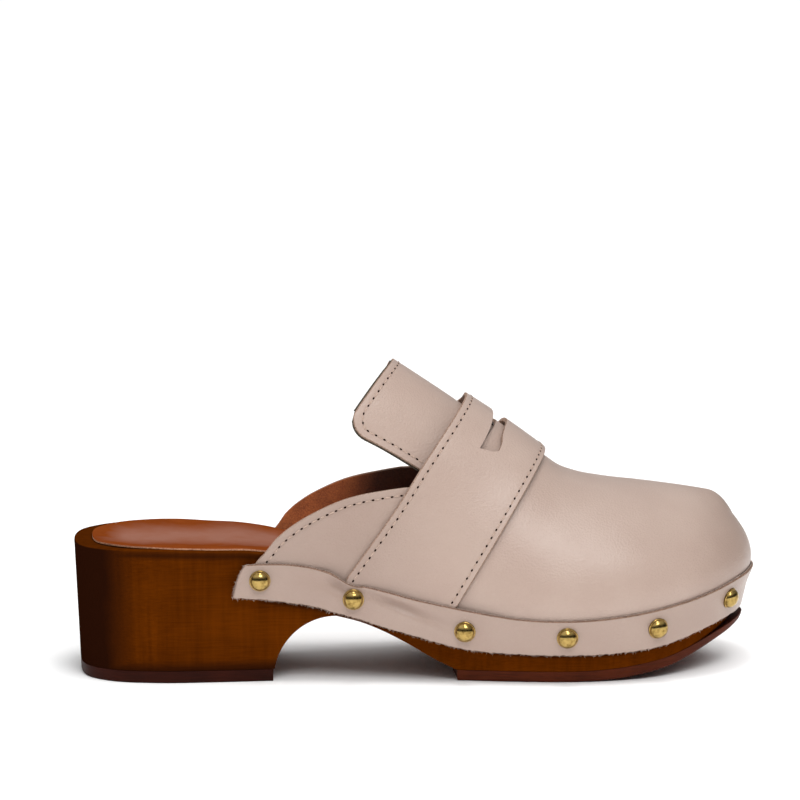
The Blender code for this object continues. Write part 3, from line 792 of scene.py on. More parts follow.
class Shader(Graph):
    """Node tree of one material round its Principled shader."""

    def __init__(self, name: str) -> None:
        """Make the material."""
        self.material = bpy.data.materials.new(name)
        self.material.use_nodes = True
        super().__init__(self.material.node_tree)
        self.principled = self.tree.nodes["Principled BSDF"]

    def set(self, **values: Any) -> None:
        """Feed the shader's inputs, named in lower case with underscores."""
        for name, value in values.items():
            self.feed(self.principled.inputs[name.replace("_", " ").title().replace("Ior", "IOR")], value)

    def place(self, stretch: Place = (1.0, 1.0, 1.0)) -> Wire:
        """Object coordinates, stretched along the axes."""
        coordinates = self.node("ShaderNodeTexCoord", output="Object")
        if stretch == (1.0, 1.0, 1.0):
            return coordinates
        return self.node("ShaderNodeMapping", None, {"Vector": coordinates, "Scale": stretch})

    def noise(self, vector: Wire, size: float, detail: float = 2.0, roughness: float = 0.5) -> Wire:
        """Noise from 0 to 1 with features of about a size."""
        values = {"Vector": vector, "Scale": 1.0 / size, "Detail": detail, "Roughness": roughness}
        return self.node("ShaderNodeTexNoise", None, values, "Fac")

    def cells(self, vector: Wire, size: float) -> Wire:
        """Distance within cells of a size."""
        return self.node("ShaderNodeTexVoronoi", None, {"Vector": vector, "Scale": 1.0 / size}, "Distance")

    def ramp(self, factor: Wire, *stops: tuple[float, float]) -> Wire:
        """Grey ramp through stops."""
        return self.node("ShaderNodeValToRGB", {"stops": list(stops)}, {"Fac": factor})

    def attribute(self, name: str) -> Wire:
        """A mask that the mesh carries."""
        return self.node("ShaderNodeAttribute", {"attribute_name": name}, None, "Fac")

    def mix(self, factor: Wire, first: Colour | Wire, second: Colour | Wire) -> Wire:
        """Blend of two colours."""
        ends = [end if isinstance(end, Wire) else (*end, 1.0) for end in (first, second)]
        values = {"Factor_Float": factor, "A_Color": ends[0], "B_Color": ends[1]}
        return self.node("ShaderNodeMix", {"data_type": "RGBA"}, values, "Result_Color")

    def bump(self, height: Wire, depth: float) -> Wire:
        """Normal bent by a height from 0 to 1 of a depth."""
        return self.node("ShaderNodeBump", None, {"Height": height, "Distance": depth}, "Normal")


@dataclass(frozen=True)
class Finish:
    """A named finish that paints a new material."""

    name: str

    def material(self) -> Material:
        """Build the finish."""
        shader = Shader(self.name)
        self.paint(shader)
        return shader.material

    def paint(self, shader: Shader) -> None:
        """Feed the shader; each finish does it in its own way."""
        raise NotImplementedError


@dataclass(frozen=True)
class GrainLeather(Finish):
    """Smooth dyed leather with a fine grain and a satin top coat, darkened towards a shaded copy of its
    colour where the mesh marks painted shade.
    """

    colour: Colour
    shade: Colour
    # Darker copy of the colour, used for painted shade
    antique: Colour
    roughness: float
    coat: float
    grain: float = 0.8 * MM
    depth: float = 0.16 * MM
    patch: float = 22.0 * MM

    def paint(self, shader: Shader) -> None:
        """Feed the shader."""
        place = shader.place()
        patches = shader.noise(place, self.patch, 3.0)
        fine = shader.noise(place, self.grain * 0.6, 2.0)
        pores = shader.cells(place, self.grain)
        tone = shader.ramp(patches * 0.75 + fine * 0.25, (0.32, 0.0), (0.68, 1.0))
        dyed = shader.mix(tone, self.colour, self.shade)
        shader.set(
            # painted shade: the mesh's mask blends the dyed colour towards its darker shaded copy
            base_color=shader.mix(shader.attribute("antique"), dyed, self.antique),
            roughness=self.roughness + (patches - 0.5) * 0.10 + (fine - 0.5) * 0.16,
            coat_weight=self.coat,
            coat_roughness=0.32,
            normal=shader.bump(pores * 0.6 + fine * 0.4, self.depth),
        )


@dataclass(frozen=True)
class SockLeather(Finish):
    """Tan foot bed leather, worn in the middle to a shine and a paler colour that is partly a painted sheen.
    """

    colour: Colour
    shade: Colour
    # Pale colour of the middle: real wear and a painted sheen
    rubbed: Colour
    grain: float = 0.9 * MM

    def paint(self, shader: Shader) -> None:
        """Feed the shader."""
        place = shader.place()
        patches = shader.noise(place, 14.0 * MM, 3.0)
        fine = shader.noise(place, self.grain * 0.5, 2.0)
        pores = shader.cells(place, self.grain)
        # wear and painted sheen: the mesh's mask pales the middle and gives it a coat
        worn_and_sheen = shader.ramp(shader.attribute("rubbed") + (patches - 0.5) * 1.1, (0.15, 0.0), (1.0, 1.0))
        tone = shader.ramp(patches * 0.7 + fine * 0.3, (0.32, 0.0), (0.68, 1.0))
        dyed = shader.mix(tone, self.colour, self.shade)
        shader.set(
            base_color=shader.mix(worn_and_sheen * 0.8, dyed, self.rubbed),
            roughness=0.5 + (fine - 0.5) * 0.2 - worn_and_sheen * 0.1,
            specular_ior_level=0.0,
            coat_weight=worn_and_sheen * 0.25,
            coat_roughness=0.3,
            normal=shader.bump(pores * 0.6 + fine * 0.4, 0.04 * MM),
        )


@dataclass(frozen=True)
class CutLeather(Finish):
    """Raw cut edge, with loose fibres and dark pits."""

    light: Colour
    dark: Colour
    fibre: float = 0.45 * MM

    def paint(self, shader: Shader) -> None:
        """Feed the shader."""
        place = shader.place()
        fibres = shader.noise(place, self.fibre, 4.0, 0.65)
        tone = shader.ramp(fibres, (0.34, 0.0), (0.62, 1.0))
        shader.set(
            base_color=shader.mix(tone, self.dark, self.light),
            roughness=0.95 - fibres * 0.1,
            normal=shader.bump(fibres, 0.25 * MM),
        )


@dataclass(frozen=True)
class Suede(Finish):
    """Napped lining with brushed patches, darkened towards near black by painted shade where the mesh marks
    it.
    """

    light: Colour
    dark: Colour
    # Near black colour of the painted shade deep inside the shoe
    deep: Colour = (0.004, 0.002, 0.001)
    nap: float = 0.6 * MM

    def paint(self, shader: Shader) -> None:
        """Feed the shader."""
        place = shader.place()
        nap = shader.noise(place, self.nap, 4.0, 0.7)
        brushed = shader.noise(place, 9.0 * MM, 2.0)
        tone = shader.ramp(nap * 0.6 + brushed * 0.4, (0.36, 0.0), (0.64, 1.0))
        brown = shader.mix(tone, self.dark, self.light)
        shader.set(
            # painted shade: the mesh's inside mask darkens the suede towards near black
            base_color=shader.mix(shader.attribute("inside"), brown, self.deep),
            roughness=0.92 - nap * 0.08,
            normal=shader.bump(nap, 0.2 * MM),
            sheen_weight=0.25,
        )


@dataclass(frozen=True)
class BurnishedWood(Finish):
    """Stained and waxed wood: fine lengthwise lines, faint upright streaks, dark burnished edges and painted
    shadow.
    """

    light: Colour
    deep: Colour
    # Dark colour of the burnish and of the painted shadow
    burnt_and_shadow: Colour

    def paint(self, shader: Shader) -> None:
        """Feed the shader."""
        lines = shader.noise(shader.place((0.035, 1.0, 1.0)), 0.55 * MM, 3.0, 0.6)
        streaks = shader.noise(shader.place((1.0, 1.0, 0.06)), 2.4 * MM, 3.0, 0.6)
        clouds = shader.noise(shader.place((0.5, 1.0, 1.0)), 16.0 * MM, 3.0)
        tone = shader.ramp(lines * 0.34 + streaks * 0.33 + clouds * 0.33, (0.34, 0.0), (0.66, 1.0))
        stain = shader.mix(tone, self.deep, self.light)
        # the mask holds real burnish and painted shadow under the foot bed's edge and under the band
        uneven = shader.attribute("burnish") + (clouds - 0.5) * 0.35
        burnt_and_shadow = shader.ramp(uneven, (0.12, 0.0), (0.9, 1.0))
        shader.set(
            base_color=shader.mix(burnt_and_shadow, stain, self.burnt_and_shadow),
            roughness=0.44 + (lines - 0.5) * 0.24,
            specular_ior_level=0.0,
            normal=shader.bump(lines * 0.7 + streaks * 0.3, 0.05 * MM),
        )


@dataclass(frozen=True)
class Rubber(Finish):
    """Pressed rubber with a slight shine and fine trimming lines."""

    light: Colour
    dark: Colour

    def paint(self, shader: Shader) -> None:
        """Feed the shader."""
        trim = shader.noise(shader.place((0.05, 0.05, 1.0)), 0.5 * MM, 2.0, 0.6)
        patches = shader.noise(shader.place(), 12.0 * MM, 2.0)
        tone = shader.ramp(trim * 0.5 + patches * 0.5, (0.35, 0.0), (0.65, 1.0))
        shader.set(
            base_color=shader.mix(tone, self.dark, self.light),
            roughness=0.46 + (patches - 0.5) * 0.15,
            specular_ior_level=0.06,
            normal=shader.bump(trim, 0.05 * MM),
        )


@dataclass(frozen=True)
class Brass(Finish):
    """Polished brass with hair scratches and a little tarnish."""

    bright: Colour
    tarnish: Colour

    def paint(self, shader: Shader) -> None:
        """Feed the shader."""
        spots = shader.noise(shader.place(), 1.6 * MM, 3.0, 0.6)
        hairs = shader.noise(shader.place((0.2, 1.0, 1.0)), 0.25 * MM, 2.0)
        tone = shader.ramp(spots, (0.45, 0.0), (0.75, 1.0))
        shader.set(
            base_color=shader.mix(tone, self.bright, self.tarnish),
            metallic=1.0,
            roughness=0.13 + spots * 0.10,
            normal=shader.bump(hairs, 0.01 * MM),
        )


@dataclass(frozen=True)
class Thread(Finish):
    """Twisted sewing thread, or a dark bead of painted shade that stands for a needle hole."""

    light: Colour
    dark: Colour
    roughness: float = 0.7
    specular: float = 0.5

    def paint(self, shader: Shader) -> None:
        """Feed the shader."""
        twist = shader.noise(shader.place(), 0.22 * MM, 2.0)
        shader.set(
            base_color=shader.mix(shader.ramp(twist, (0.4, 0.0), (0.6, 1.0)), self.dark, self.light),
            roughness=self.roughness + (twist - 0.5) * 0.1,
            specular_ior_level=self.specular,
            normal=shader.bump(twist, 0.06 * MM),
        )


def made(finish: Finish) -> Any:
    """Field that holds a finish's own new material."""
    return field(default_factory=finish.material)


@dataclass
class Finishes:
    """Every finish of the shoe in the photo's colours, made once."""

    leather: Material = made(GrainLeather(
        "nude_leather", srgb(195, 172, 159), srgb(187, 162, 149), srgb(146, 121, 108), 0.38, 0.14
    ))
    cut: Material = made(CutLeather("cut_leather_edge", srgb(192, 163, 145), srgb(116, 86, 68)))
    fibre: Material = made(CutLeather("loose_fibre", srgb(246, 232, 222), srgb(206, 182, 166)))
    # the band's cut edge, its colour darkened partly as painted shadow of the gap along its top edge
    band_edge_and_shadow: Material = made(CutLeather("band_cut_edge", srgb(164, 132, 112), srgb(78, 54, 42)))
    lining: Material = made(Suede("suede_lining", srgb(208, 118, 62), srgb(140, 72, 36)))
    # painted shade: the lining's cut edge is coloured dark grey for the shade under the tongue's edge
    lining_edge_shade: Material = made(CutLeather("lining_cut_edge_shade", srgb(92, 82, 66), srgb(48, 42, 34)))
    flesh: Material = made(Suede("flesh_side", srgb(152, 122, 102), srgb(112, 84, 66)))
    sock: Material = made(SockLeather(
        "tan_sock_leather", srgb(142, 70, 28), srgb(124, 57, 21), srgb(160, 106, 86)
    ))
    sock_cut: Material = made(CutLeather("sock_cut_edge", srgb(206, 150, 116), srgb(120, 66, 42)))
    wood: Material = made(BurnishedWood(
        "burnished_wood", srgb(102, 47, 3), srgb(72, 30, 2), srgb(38, 15, 6)
    ))
    rubber: Material = made(Rubber("brown_rubber", srgb(92, 40, 20), srgb(64, 27, 14)))
    lift: Material = made(Rubber("dark_rubber", srgb(56, 21, 12), srgb(40, 14, 8)))
    brass: Material = made(Brass("polished_brass", srgb(180, 152, 90), srgb(112, 88, 42)))
    thread: Material = made(Thread("beige_thread", srgb(210, 186, 170), srgb(178, 151, 134)))
    # painted shade: a dark bead where the needle hole would be
    hole_shade: Material = made(Thread("needle_hole_shade", srgb(46, 28, 20), srgb(28, 16, 12), 0.9, 0.0))

    def sheet(self) -> list[Material]:
        """Materials of a leather sheet, in the order of Face."""
        return [self.leather, self.cut, self.flesh]


class NodeModifier:
    """A Geometry Nodes tree with named inputs, run once on a mesh to make a plain mesh."""

    def __init__(self, name: str, inputs: dict[str, str]) -> None:
        """Start the tree.

        Args:
            name: the tree's name.
            inputs: socket types of the named inputs, after the geometry.
        """
        self.tree = bpy.data.node_groups.new(name, "GeometryNodeTree")
        self.graph = Graph(self.tree)
        face = self.tree.interface
        face.new_socket(name="Geometry", in_out="INPUT", socket_type="NodeSocketGeometry")
        face.new_socket(name="Geometry", in_out="OUTPUT", socket_type="NodeSocketGeometry")
        self.sockets = {
            label: face.new_socket(name=label, in_out="INPUT", socket_type=kind).identifier
            for label, kind in inputs.items()
        }
        self.entry = self.graph.node("NodeGroupInput")

    def input(self, label: str) -> Wire:
        """Wire of a named input."""
        return self.entry.output(self.sockets[label])

    def close(self, *branches: tuple[Wire, str]) -> None:
        """Realize each branch's instances, set its material and join them as the result.

        Args:
            branches: instances with the name of their material input.
        """
        join = self.graph.node("GeometryNodeJoinGeometry")
        for instances, label in branches:
            real = self.graph.node("GeometryNodeRealizeInstances", None, {"Geometry": instances})
            dressed = self.graph.node(
                "GeometryNodeSetMaterial", None, {"Geometry": real, "Material": self.input(label)}
            )
            self.tree.links.new(dressed.socket, join.socket.node.inputs[0])
        out = self.tree.nodes.new("NodeGroupOutput")
        self.tree.links.new(join.socket, out.inputs[0])

    def run(self, name: str, base: Mesh, values: dict[str, Any]) -> Piece:
        """Run the tree on a mesh.

        Args:
            name: the new piece's name.
            base: the mesh that the tree starts from.
            values: values of the named inputs.

        Returns:
            A plain mesh object.
        """
        carrier = link(name + "_base", base)
        modifier = carrier.modifiers.new("nodes", "NODES")
        modifier.node_group = self.tree
        for label, value in values.items():
            modifier[self.sockets[label]] = value
        depsgraph = bpy.context.evaluated_depsgraph_get()
        mesh = bpy.data.meshes.new_from_object(carrier.evaluated_get(depsgraph))
        bpy.data.objects.remove(carrier)
        mesh.name = name
        mesh.shade_smooth()
        return link(name, mesh)


def path_mesh(name: str, lines: Lines) -> Mesh:
    """Loose lines of points that carry the surface's normal as the attribute "up".

    Args:
        name: the mesh's name.
        lines: points and normals of each line.

    Returns:
        The mesh of edges.
    """
    points = np.concatenate([line[0] for line in lines])
    ups = np.concatenate([line[1] for line in lines])
    edges, start = [], 0
    for line, _ in lines:
        edges += [(start + i, start + i + 1) for i in range(len(line) - 1)]
        start += len(line)
    mesh = bpy.data.meshes.new(name)
    mesh.from_pydata(points.tolist(), edges, [])
    up = mesh.attributes.new("up", "FLOAT_VECTOR", "POINT")
    up.data.foreach_set("vector", ups.astype(np.float32).ravel())
    return mesh


@dataclass
class Stitching:
    """Rows of lockstitch: a thread over each pitch and, at its ends, a dark bead of painted shade that stands
    for the needle hole.
    """

    finishes: Finishes
    pitch: float = 3.45 * MM
    thread_width: float = 0.6 * MM
    hole_width: float = 1.1 * MM
    thread_share: float = 0.66
    thread_height: float = 0.75
    hole_share: float = 0.62
    hole_height: float = 0.3
    groove_depth: float = 0.12 * MM
    groove_width: float = 0.9 * MM
    tree: NodeModifier = field(init=False)

    def __post_init__(self) -> None:
        """Build the tree once."""
        kinds = {label: "NodeSocketFloat" for label in ("Pitch", "Thread Width", "Hole Width")}
        kinds |= {label: "NodeSocketMaterial" for label in ("Thread", "Hole")}
        self.tree = NodeModifier("stitch_row", kinds)
        graph = self.tree.graph
        curve = graph.node("GeometryNodeMeshToCurve", None, {"Mesh": self.tree.entry})
        spacing = {"Curve": curve, "Length": self.tree.input("Pitch") / 2.0}
        spaced = graph.node("GeometryNodeResampleCurve", {"mode": "LENGTH"}, spacing)
        up = graph.node("GeometryNodeInputNamedAttribute", {"data_type": "FLOAT_VECTOR"}, {"Name": "up"})
        ways = {"Primary Axis": up, "Secondary Axis": graph.node("GeometryNodeInputTangent")}
        axes = {"primary_axis": "Z", "secondary_axis": "X"}
        turned = graph.node("FunctionNodeAxesToRotation", axes, ways)
        odd = graph.node("GeometryNodeInputIndex") % 2.0
        width, hole_width = self.tree.input("Thread Width"), self.tree.input("Hole Width")
        thread = self.bead(self.tree.input("Pitch") * self.thread_share, width, width * self.thread_height)
        hole = self.bead(hole_width, hole_width * self.hole_share, width * self.hole_height)
        rows = []
        for shape, pick in ((thread, odd), (hole, 1.0 - odd)):
            values = {"Points": spaced, "Selection": pick, "Instance": shape, "Rotation": turned}
            rows.append(graph.node("GeometryNodeInstanceOnPoints", None, values))
        self.tree.close((rows[0], "Thread"), (rows[1], "Hole"))

    def bead(self, length: Wire, width: Wire, height: Wire) -> Wire:
        """Small round body of a length, width and height."""
        graph = self.tree.graph
        ball = graph.node("GeometryNodeMeshUVSphere", None, {"Segments": 8, "Rings": 6, "Radius": 0.5})
        size = graph.node("ShaderNodeCombineXYZ", None, {"X": length, "Y": width, "Z": height})
        return graph.node("GeometryNodeTransform", None, {"Geometry": ball, "Scale": size})

    def groove(self, face: Array, line: Array) -> Array:
        """How far a row along a line of points presses a face in."""
        return self.groove_depth * bell(distance(face, line) / self.groove_width)

    def sew(self, name: str, lines: Lines) -> Piece:
        """Sew rows along lines of points and normals."""
        values = {
            "Pitch": self.pitch,
            "Thread Width": self.thread_width,
            "Hole Width": self.hole_width,
            "Thread": self.finishes.thread,
            # painted shade of the needle holes
            "Hole": self.finishes.hole_shade,
        }
        return self.tree.run(name, path_mesh(name, lines), values)


@dataclass
class Fringe:
    """Loose fibres that stand out of a raw edge."""

    finishes: Finishes
    spacing: float = 0.18 * MM
    length: float = 1.3 * MM
    width: float = 0.18 * MM
    spread: float = 0.9
    shortest: float = 0.25
    seed: int = 11
    tree: NodeModifier = field(init=False)

    def __post_init__(self) -> None:
        """Build the tree once."""
        labels = ("Spacing", "Length", "Width", "Spread")
        kinds = {label: "NodeSocketFloat" for label in labels}
        self.tree = NodeModifier("raw_edge_fibres", kinds | {"Fibre": "NodeSocketMaterial"})
        graph, spread = self.tree.graph, self.tree.input("Spread")
        curve = graph.node("GeometryNodeMeshToCurve", None, {"Mesh": self.tree.entry})
        spacing = {"Curve": curve, "Length": self.tree.input("Spacing")}
        spaced = graph.node("GeometryNodeResampleCurve", {"mode": "LENGTH"}, spacing)
        out = graph.node("GeometryNodeInputNamedAttribute", {"data_type": "FLOAT_VECTOR"}, {"Name": "up"})
        ends = {"Min": (-1.0, -1.0, -1.0), "Max": (1.0, 1.0, 1.0), "Seed": self.seed}
        wild = graph.node("FunctionNodeRandomValue", {"data_type": "FLOAT_VECTOR"}, ends)
        bent = graph.node("ShaderNodeVectorMath", {"operation": "SCALE"}, {0: wild, "Scale": spread})
        way = graph.node("ShaderNodeVectorMath", {"operation": "ADD"}, {0: out, 1: bent})
        turned = graph.node("FunctionNodeAlignRotationToVector", {"axis": "Z"}, {"Vector": way})
        scales = {"Min_001": self.shortest, "Max_001": 1.0, "Seed": self.seed + 1}
        size = graph.node("FunctionNodeRandomValue", {"data_type": "FLOAT"}, scales, "Value_001")
        radius, depth = self.tree.input("Width") / 2.0, self.tree.input("Length")
        spike = {"Vertices": 3, "Radius Bottom": radius, "Depth": depth}
        fibre = graph.node("GeometryNodeMeshCone", {"fill_type": "NGON"}, spike)
        values = {"Points": spaced, "Instance": fibre, "Rotation": turned, "Scale": size}
        self.tree.close((graph.node("GeometryNodeInstanceOnPoints", None, values), "Fibre"))

    def grow(self, name: str, lines: Lines, share: float) -> Piece:
        """Grow fibres of a share of the full length along lines of points and outward ways."""
        values = {
            "Spacing": self.spacing,
            "Length": self.length * share,
            "Width": self.width,
            "Spread": self.spread,
            "Fibre": self.finishes.fibre,
        }
        return self.tree.run(name, path_mesh(name, lines), values)


def sizes(mesh: Mesh) -> tuple[Array, Array, Array]:
    """Station, width and height of every point of a mesh."""
    points = np.array([vert.co for vert in mesh.vertices]) + FRAME_ORIGIN
    return points[:, 0], points[:, 1], points[:, 2]


def mark(mesh: Mesh, name: str, values: Array) -> None:
    """Write a value for every point of a mesh, for its finish to read."""
    mesh.attributes.new(name, "FLOAT", "POINT").data.foreach_set("value", values.astype(np.float32))


# Where the leather was rubbed darker: how much, and where that begins
PAINTED_SHADE_REAR, PAINTED_SHADE_TOE = 0.4, 0.42
REAR_FADE, RISE_FADE = Fade(100 * MM, 40 * MM), Fade(66 * MM, 14 * MM)
TOE_FADE = Fade(222 * MM, 24 * MM)


def antique(mesh: Mesh, least: Array | float = 0.0) -> Mesh:
    """Mark where the leather was rubbed darker: low at the rear, and round the tip of the toe.

    Args:
        mesh: a mesh in the frame.
        least: the mark's lowest value on this mesh.

    Returns:
        The mesh.
    """
    x, _, z = sizes(mesh)
    rear = PAINTED_SHADE_REAR * (1.0 - REAR_FADE.at(x)) * (1.0 - RISE_FADE.at(z))
    toe = PAINTED_SHADE_TOE * TOE_FADE.at(x)
    mark(mesh, "antique", np.maximum.reduce((rear, toe, np.full_like(x, least))))
    return mesh


def dress(piece: Piece, slot: Slot, *nodes: str) -> Piece:
    """Seat a finished piece on the shoe.

    Args:
        piece: the piece.
        slot: the record's slot of its finish.
        nodes: the solids that it stands for.

    Returns:
        The piece.
    """
    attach(piece, BODY)
    if nodes:
        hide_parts(*nodes)
    LOG.info("%s: %d faces", piece.name, len(piece.data.polygons))
    return piece


@dataclass
class WoodenSole:
    """Carved wood with its heel, the rubber under heel and forefoot, and the foot bed's cover."""

    last: FootForm
    finishes: Finishes
    gap: float = 0.3 * MM
    lift_wall: float = 4.2 * MM
    outsole_wall: float = 3.8 * MM
    sock_wall: float = 0.75 * MM
    breast_start: float = 72.0 * MM
    outsole_start: float = 138.8 * MM
    dish: float = 1.6 * MM
    dish_fade_heel: float = 20.0 * MM
    dish_fade_toe: float = 40.0 * MM
    top_round: float = 1.2 * MM
    low_round: float = 0.3 * MM
    lap: float = 0.25 * MM
    lap_round: float = 0.1 * MM
    lift_round: float = 0.7 * MM
    sock_round: float = 0.3 * MM
    sock_edge: float = 0.6
    across: int = 24
    wood_rows: int = 40
    heel_rings: int = 48
    breast_rings: int = 24
    fore_rings: int = 110
    outsole_rings: int = 90
    sock_rings: int = 70
    back_burn: Fade = Fade(7 * MM, 21 * MM)
    foot_burn: Fade = Fade(4.5 * MM, 6 * MM)
    foot_burn_end: Fade = Fade(74 * MM, 12 * MM)
    foot_strength: float = 0.85
    # Painted shadow: a dark stripe under the foot bed's edge at the heel, and another under the band's lower
    # edge
    rim_painted_shadow: Stripe = Stripe(0.75, 2.0 * MM, 1.6 * MM)
    rim_shadow_end: float = 70 * MM
    band_painted_shadow: Stripe = Stripe(0.9, 0.9 * MM, 1.1 * MM)
    band_shadow_start: Fade = Fade(63 * MM, 9 * MM)
    top_edge: float = 0.6 * MM
    top_burn: float = 0.35
    worn_middle: float = 2 * MM
    worn_side: Fade = Fade(2 * MM, 24 * MM)
    worn_start: Fade = Fade(8 * MM, 14 * MM)

    def seat_dish(self, station: float) -> float:
        """Hollow of the foot bed, fading out at the heel's back and at the toe."""
        toe_end = smoothstep((self.last.length - station) / self.dish_fade_toe)
        return float(self.dish * smoothstep(station / self.dish_fade_heel) * toe_end)

    @staticmethod
    def toe_spring(station: float) -> float:
        """Height of the outsole's lower face, flat on the floor behind the ball."""
        return max(0.0, float(TOE_SPRING.at("height", station)))

    def underside(self, station: float) -> float:
        """Height of the wood's lower face, above the rubber or over the arch."""
        base = self.lift_wall + self.gap
        peak, top = ARCH["station"][0], ARCH["height"][0]
        if station <= self.breast_start:
            return base
        if station <= peak:
            part = (peak - station) / (peak - self.breast_start)
            return max(base, top * math.sqrt(max(0.0, 1.0 - part * part)))
        if station <= ARCH["station"][-1]:
            return float(ARCH.at("height", station))
        return self.toe_spring(station) + self.outsole_wall + self.gap

    @staticmethod
    def taper_inset(station: float, height: float) -> float:
        """How far the sole's side has tapered in at a height."""
        return float(LAST.at("taper", station) * (LAST.at("feather", station) - height))

    @staticmethod
    def crowded(start: float, end: float, count: int) -> Array:
        """Stations from a start to an end, closest together at the start."""
        return start + (end - start) * (1.0 - np.cos(np.linspace(0.0, math.pi / 2, count + 1)))

    def slab(self, name: str, stations: Array, rim: Callable[[float, Side], Pairs],
             dishes: tuple[Callable[[float], float], Callable[[float], float]],
             capped: tuple[int, ...]) -> Mesh:
        """Closed body of the sole's outline.

        Args:
            name: the mesh's name.
            stations: stations of its rings.
            rim: heights and insets up a side at a station.
            dishes: hollow of the lower and of the upper face at a station.
            capped: rings that need a cap; an end that has shrunk to a line needs none.

        Returns:
            The mesh.
        """
        share = np.linspace(0.0, 1.0, self.across + 1)[1:-1, None]
        hollow = 4.0 * share * (1.0 - share) * np.array((0.0, 0.0, 1.0))
        shape = bmesh.new()
        rings = []
        for station in stations:
            sides = []
            for side in Side:
                x, y, nx, ny = self.last.edge(self.last.loop_place(side, station))
                rows = [(x - nx * inset, y - ny * inset, height) for height, inset in rim(station, side)]
                sides.append(np.array(rows) - FRAME_ORIGIN)
            outer, inner = sides
            over = outer[-1] * (1.0 - share) + inner[-1] * share - hollow * dishes[1](station)
            under = inner[0] * (1.0 - share) + outer[0] * share - hollow * dishes[0](station)
            points = np.concatenate((outer, over, inner[::-1], under))
            rings.append([shape.verts.new(point) for point in points])
        for ring, after in zip(rings, rings[1:]):
            for index in range(len(ring)):
                beside = (index + 1) % len(ring)
                shape.faces.new((ring[index], ring[beside], after[beside], after[index]))
        for end in capped:
            shape.faces.new(rings[end])
        bmesh.ops.remove_doubles(shape, verts=shape.verts, dist=WELD)
        return finished(name, shape, SOLE_SHARP)

    def side_rows(self, station: float, low: float, high: float, low_round: float,
                  top_round: float, steps: int = 8) -> Pairs:
        """Heights and insets up a side with rounded edges, on the sole's taper."""
        angle = np.linspace(0.0, math.pi / 2, NOSE_ROWS)
        rows = [(low + low_round * (1 - math.cos(a)), low_round * (1 - math.sin(a))) for a in angle]
        rows += [(height, 0.0) for height in np.linspace(low + low_round, high - top_round, steps)[1:-1]]
        rows += [(high - top_round * (1 - math.sin(a)), top_round * (1 - math.cos(a))) for a in angle]
        return [(height, inset + self.taper_inset(station, height)) for height, inset in rows]

    def build_wood(self) -> Piece:
        """Carve the wood, with a mask of where it is burnished and where shadow is painted on it."""

        def rim(station: float, _side: Side) -> Pairs:
            low, high = self.underside(station), float(LAST.at("feather", station))
            return self.side_rows(station, low, high, self.low_round, self.top_round, self.wood_rows)

        peak = ARCH["station"][0]
        heel = self.crowded(0.0, self.breast_start, self.heel_rings)
        breast = self.crowded(self.breast_start, peak, self.breast_rings)
        fore = self.crowded(self.last.length, peak, self.fore_rings)[::-1]
        stations = np.concatenate((heel[:-1], breast, fore[1:]))
        mesh = self.slab("wood_sole", stations, rim, (lambda s: 0.0, self.seat_dish), ())
        x, _, z = sizes(mesh)
        feather = LAST.at("feather", x)
        back = 1.0 - self.back_burn.at(x)
        foot = self.foot_strength * (1.0 - self.foot_burn.at(z)) * (1.0 - self.foot_burn_end.at(x))
        # painted shadow under the foot bed's edge and under the band's lower edge; the heel's back and the
        # wood above the rubber are burnished
        under_rim = self.rim_painted_shadow.at(z - feather) * (x < self.rim_shadow_end)
        under_band = self.band_painted_shadow.at(z - BAND.at("bottom", x)) * self.band_shadow_start.at(x)
        burnish = np.clip(np.maximum.reduce((back, foot, under_rim, under_band)), 0.0, 1.0)
        burnish = burnish * np.where(z > feather - self.top_edge, self.top_burn, 1.0)
        mark(mesh, "burnish", burnish)
        return dress(mesh_object("carved_wood_sole", mesh, [self.finishes.wood]), Slot.WOOD, "wood_sole")

    def build_lift(self) -> Piece:
        """Rubber top piece under the heel."""

        def rim(station: float, _side: Side) -> Pairs:
            return self.side_rows(station, 0.0, self.lift_wall + self.lap, self.lift_round, self.lap_round)

        stations = self.crowded(0.0, self.breast_start, self.heel_rings)
        mesh = self.slab("heel_lift", stations, rim, (lambda s: 0.0, lambda s: 0.0), (-1,))
        return dress(mesh_object("rubber_heel_lift", mesh, [self.finishes.lift]), Slot.RUBBER, "heel_lift")

    def build_outsole(self) -> Piece:
        """Rubber half sole that rolls up over the tip of the toe."""

        def rim(station: float, _side: Side) -> Pairs:
            spring = self.toe_spring(station)
            lip, roll = (float(TOE_SPRING.at(name, station)) for name in ("lip", "roll"))
            high = spring + self.outsole_wall + self.lap
            rows = self.side_rows(station, spring, high, roll, self.lap_round)
            return [(height, inset - lip) for height, inset in rows]

        stations = self.crowded(self.last.length, self.outsole_start, self.outsole_rings)[::-1]
        mesh = self.slab("forefoot_outsole", stations, rim, (lambda s: 0.0, lambda s: 0.0), (0,))
        piece = mesh_object("rubber_half_sole", mesh, [self.finishes.rubber])
        return dress(piece, Slot.RUBBER, "forefoot_outsole")

    def build_sock(self) -> Piece:
        """Leather cover of the foot bed, with its raw edge."""

        def rim(station: float, side: Side) -> Pairs:
            low = float(LAST.at("feather", station)) + self.gap * 0.3
            high = low + self.sock_wall
            inset = float(SOCK_INSET.at(side.name.lower(), station))
            radius = self.sock_round
            rows = [(low, inset), (high - radius * 1.2, inset)]
            for angle in np.linspace(0.0, math.pi / 2, NOSE_ROWS - 1):
                rows.append((high - radius * (1 - math.sin(angle)), inset + radius * (1 - math.cos(angle))))
            return rows

        middle = self.last.length / 2
        rear = self.crowded(0.0, middle, self.sock_rings)
        fore = self.crowded(self.last.length, middle, self.sock_rings)[::-1]
        stations = np.concatenate((rear, fore[1:]))
        mesh = self.slab("sock", stations, rim, (self.seat_dish, self.seat_dish), ())
        for face in mesh.polygons:
            face.material_index = 1 if abs(face.normal.z) < self.sock_edge else 0
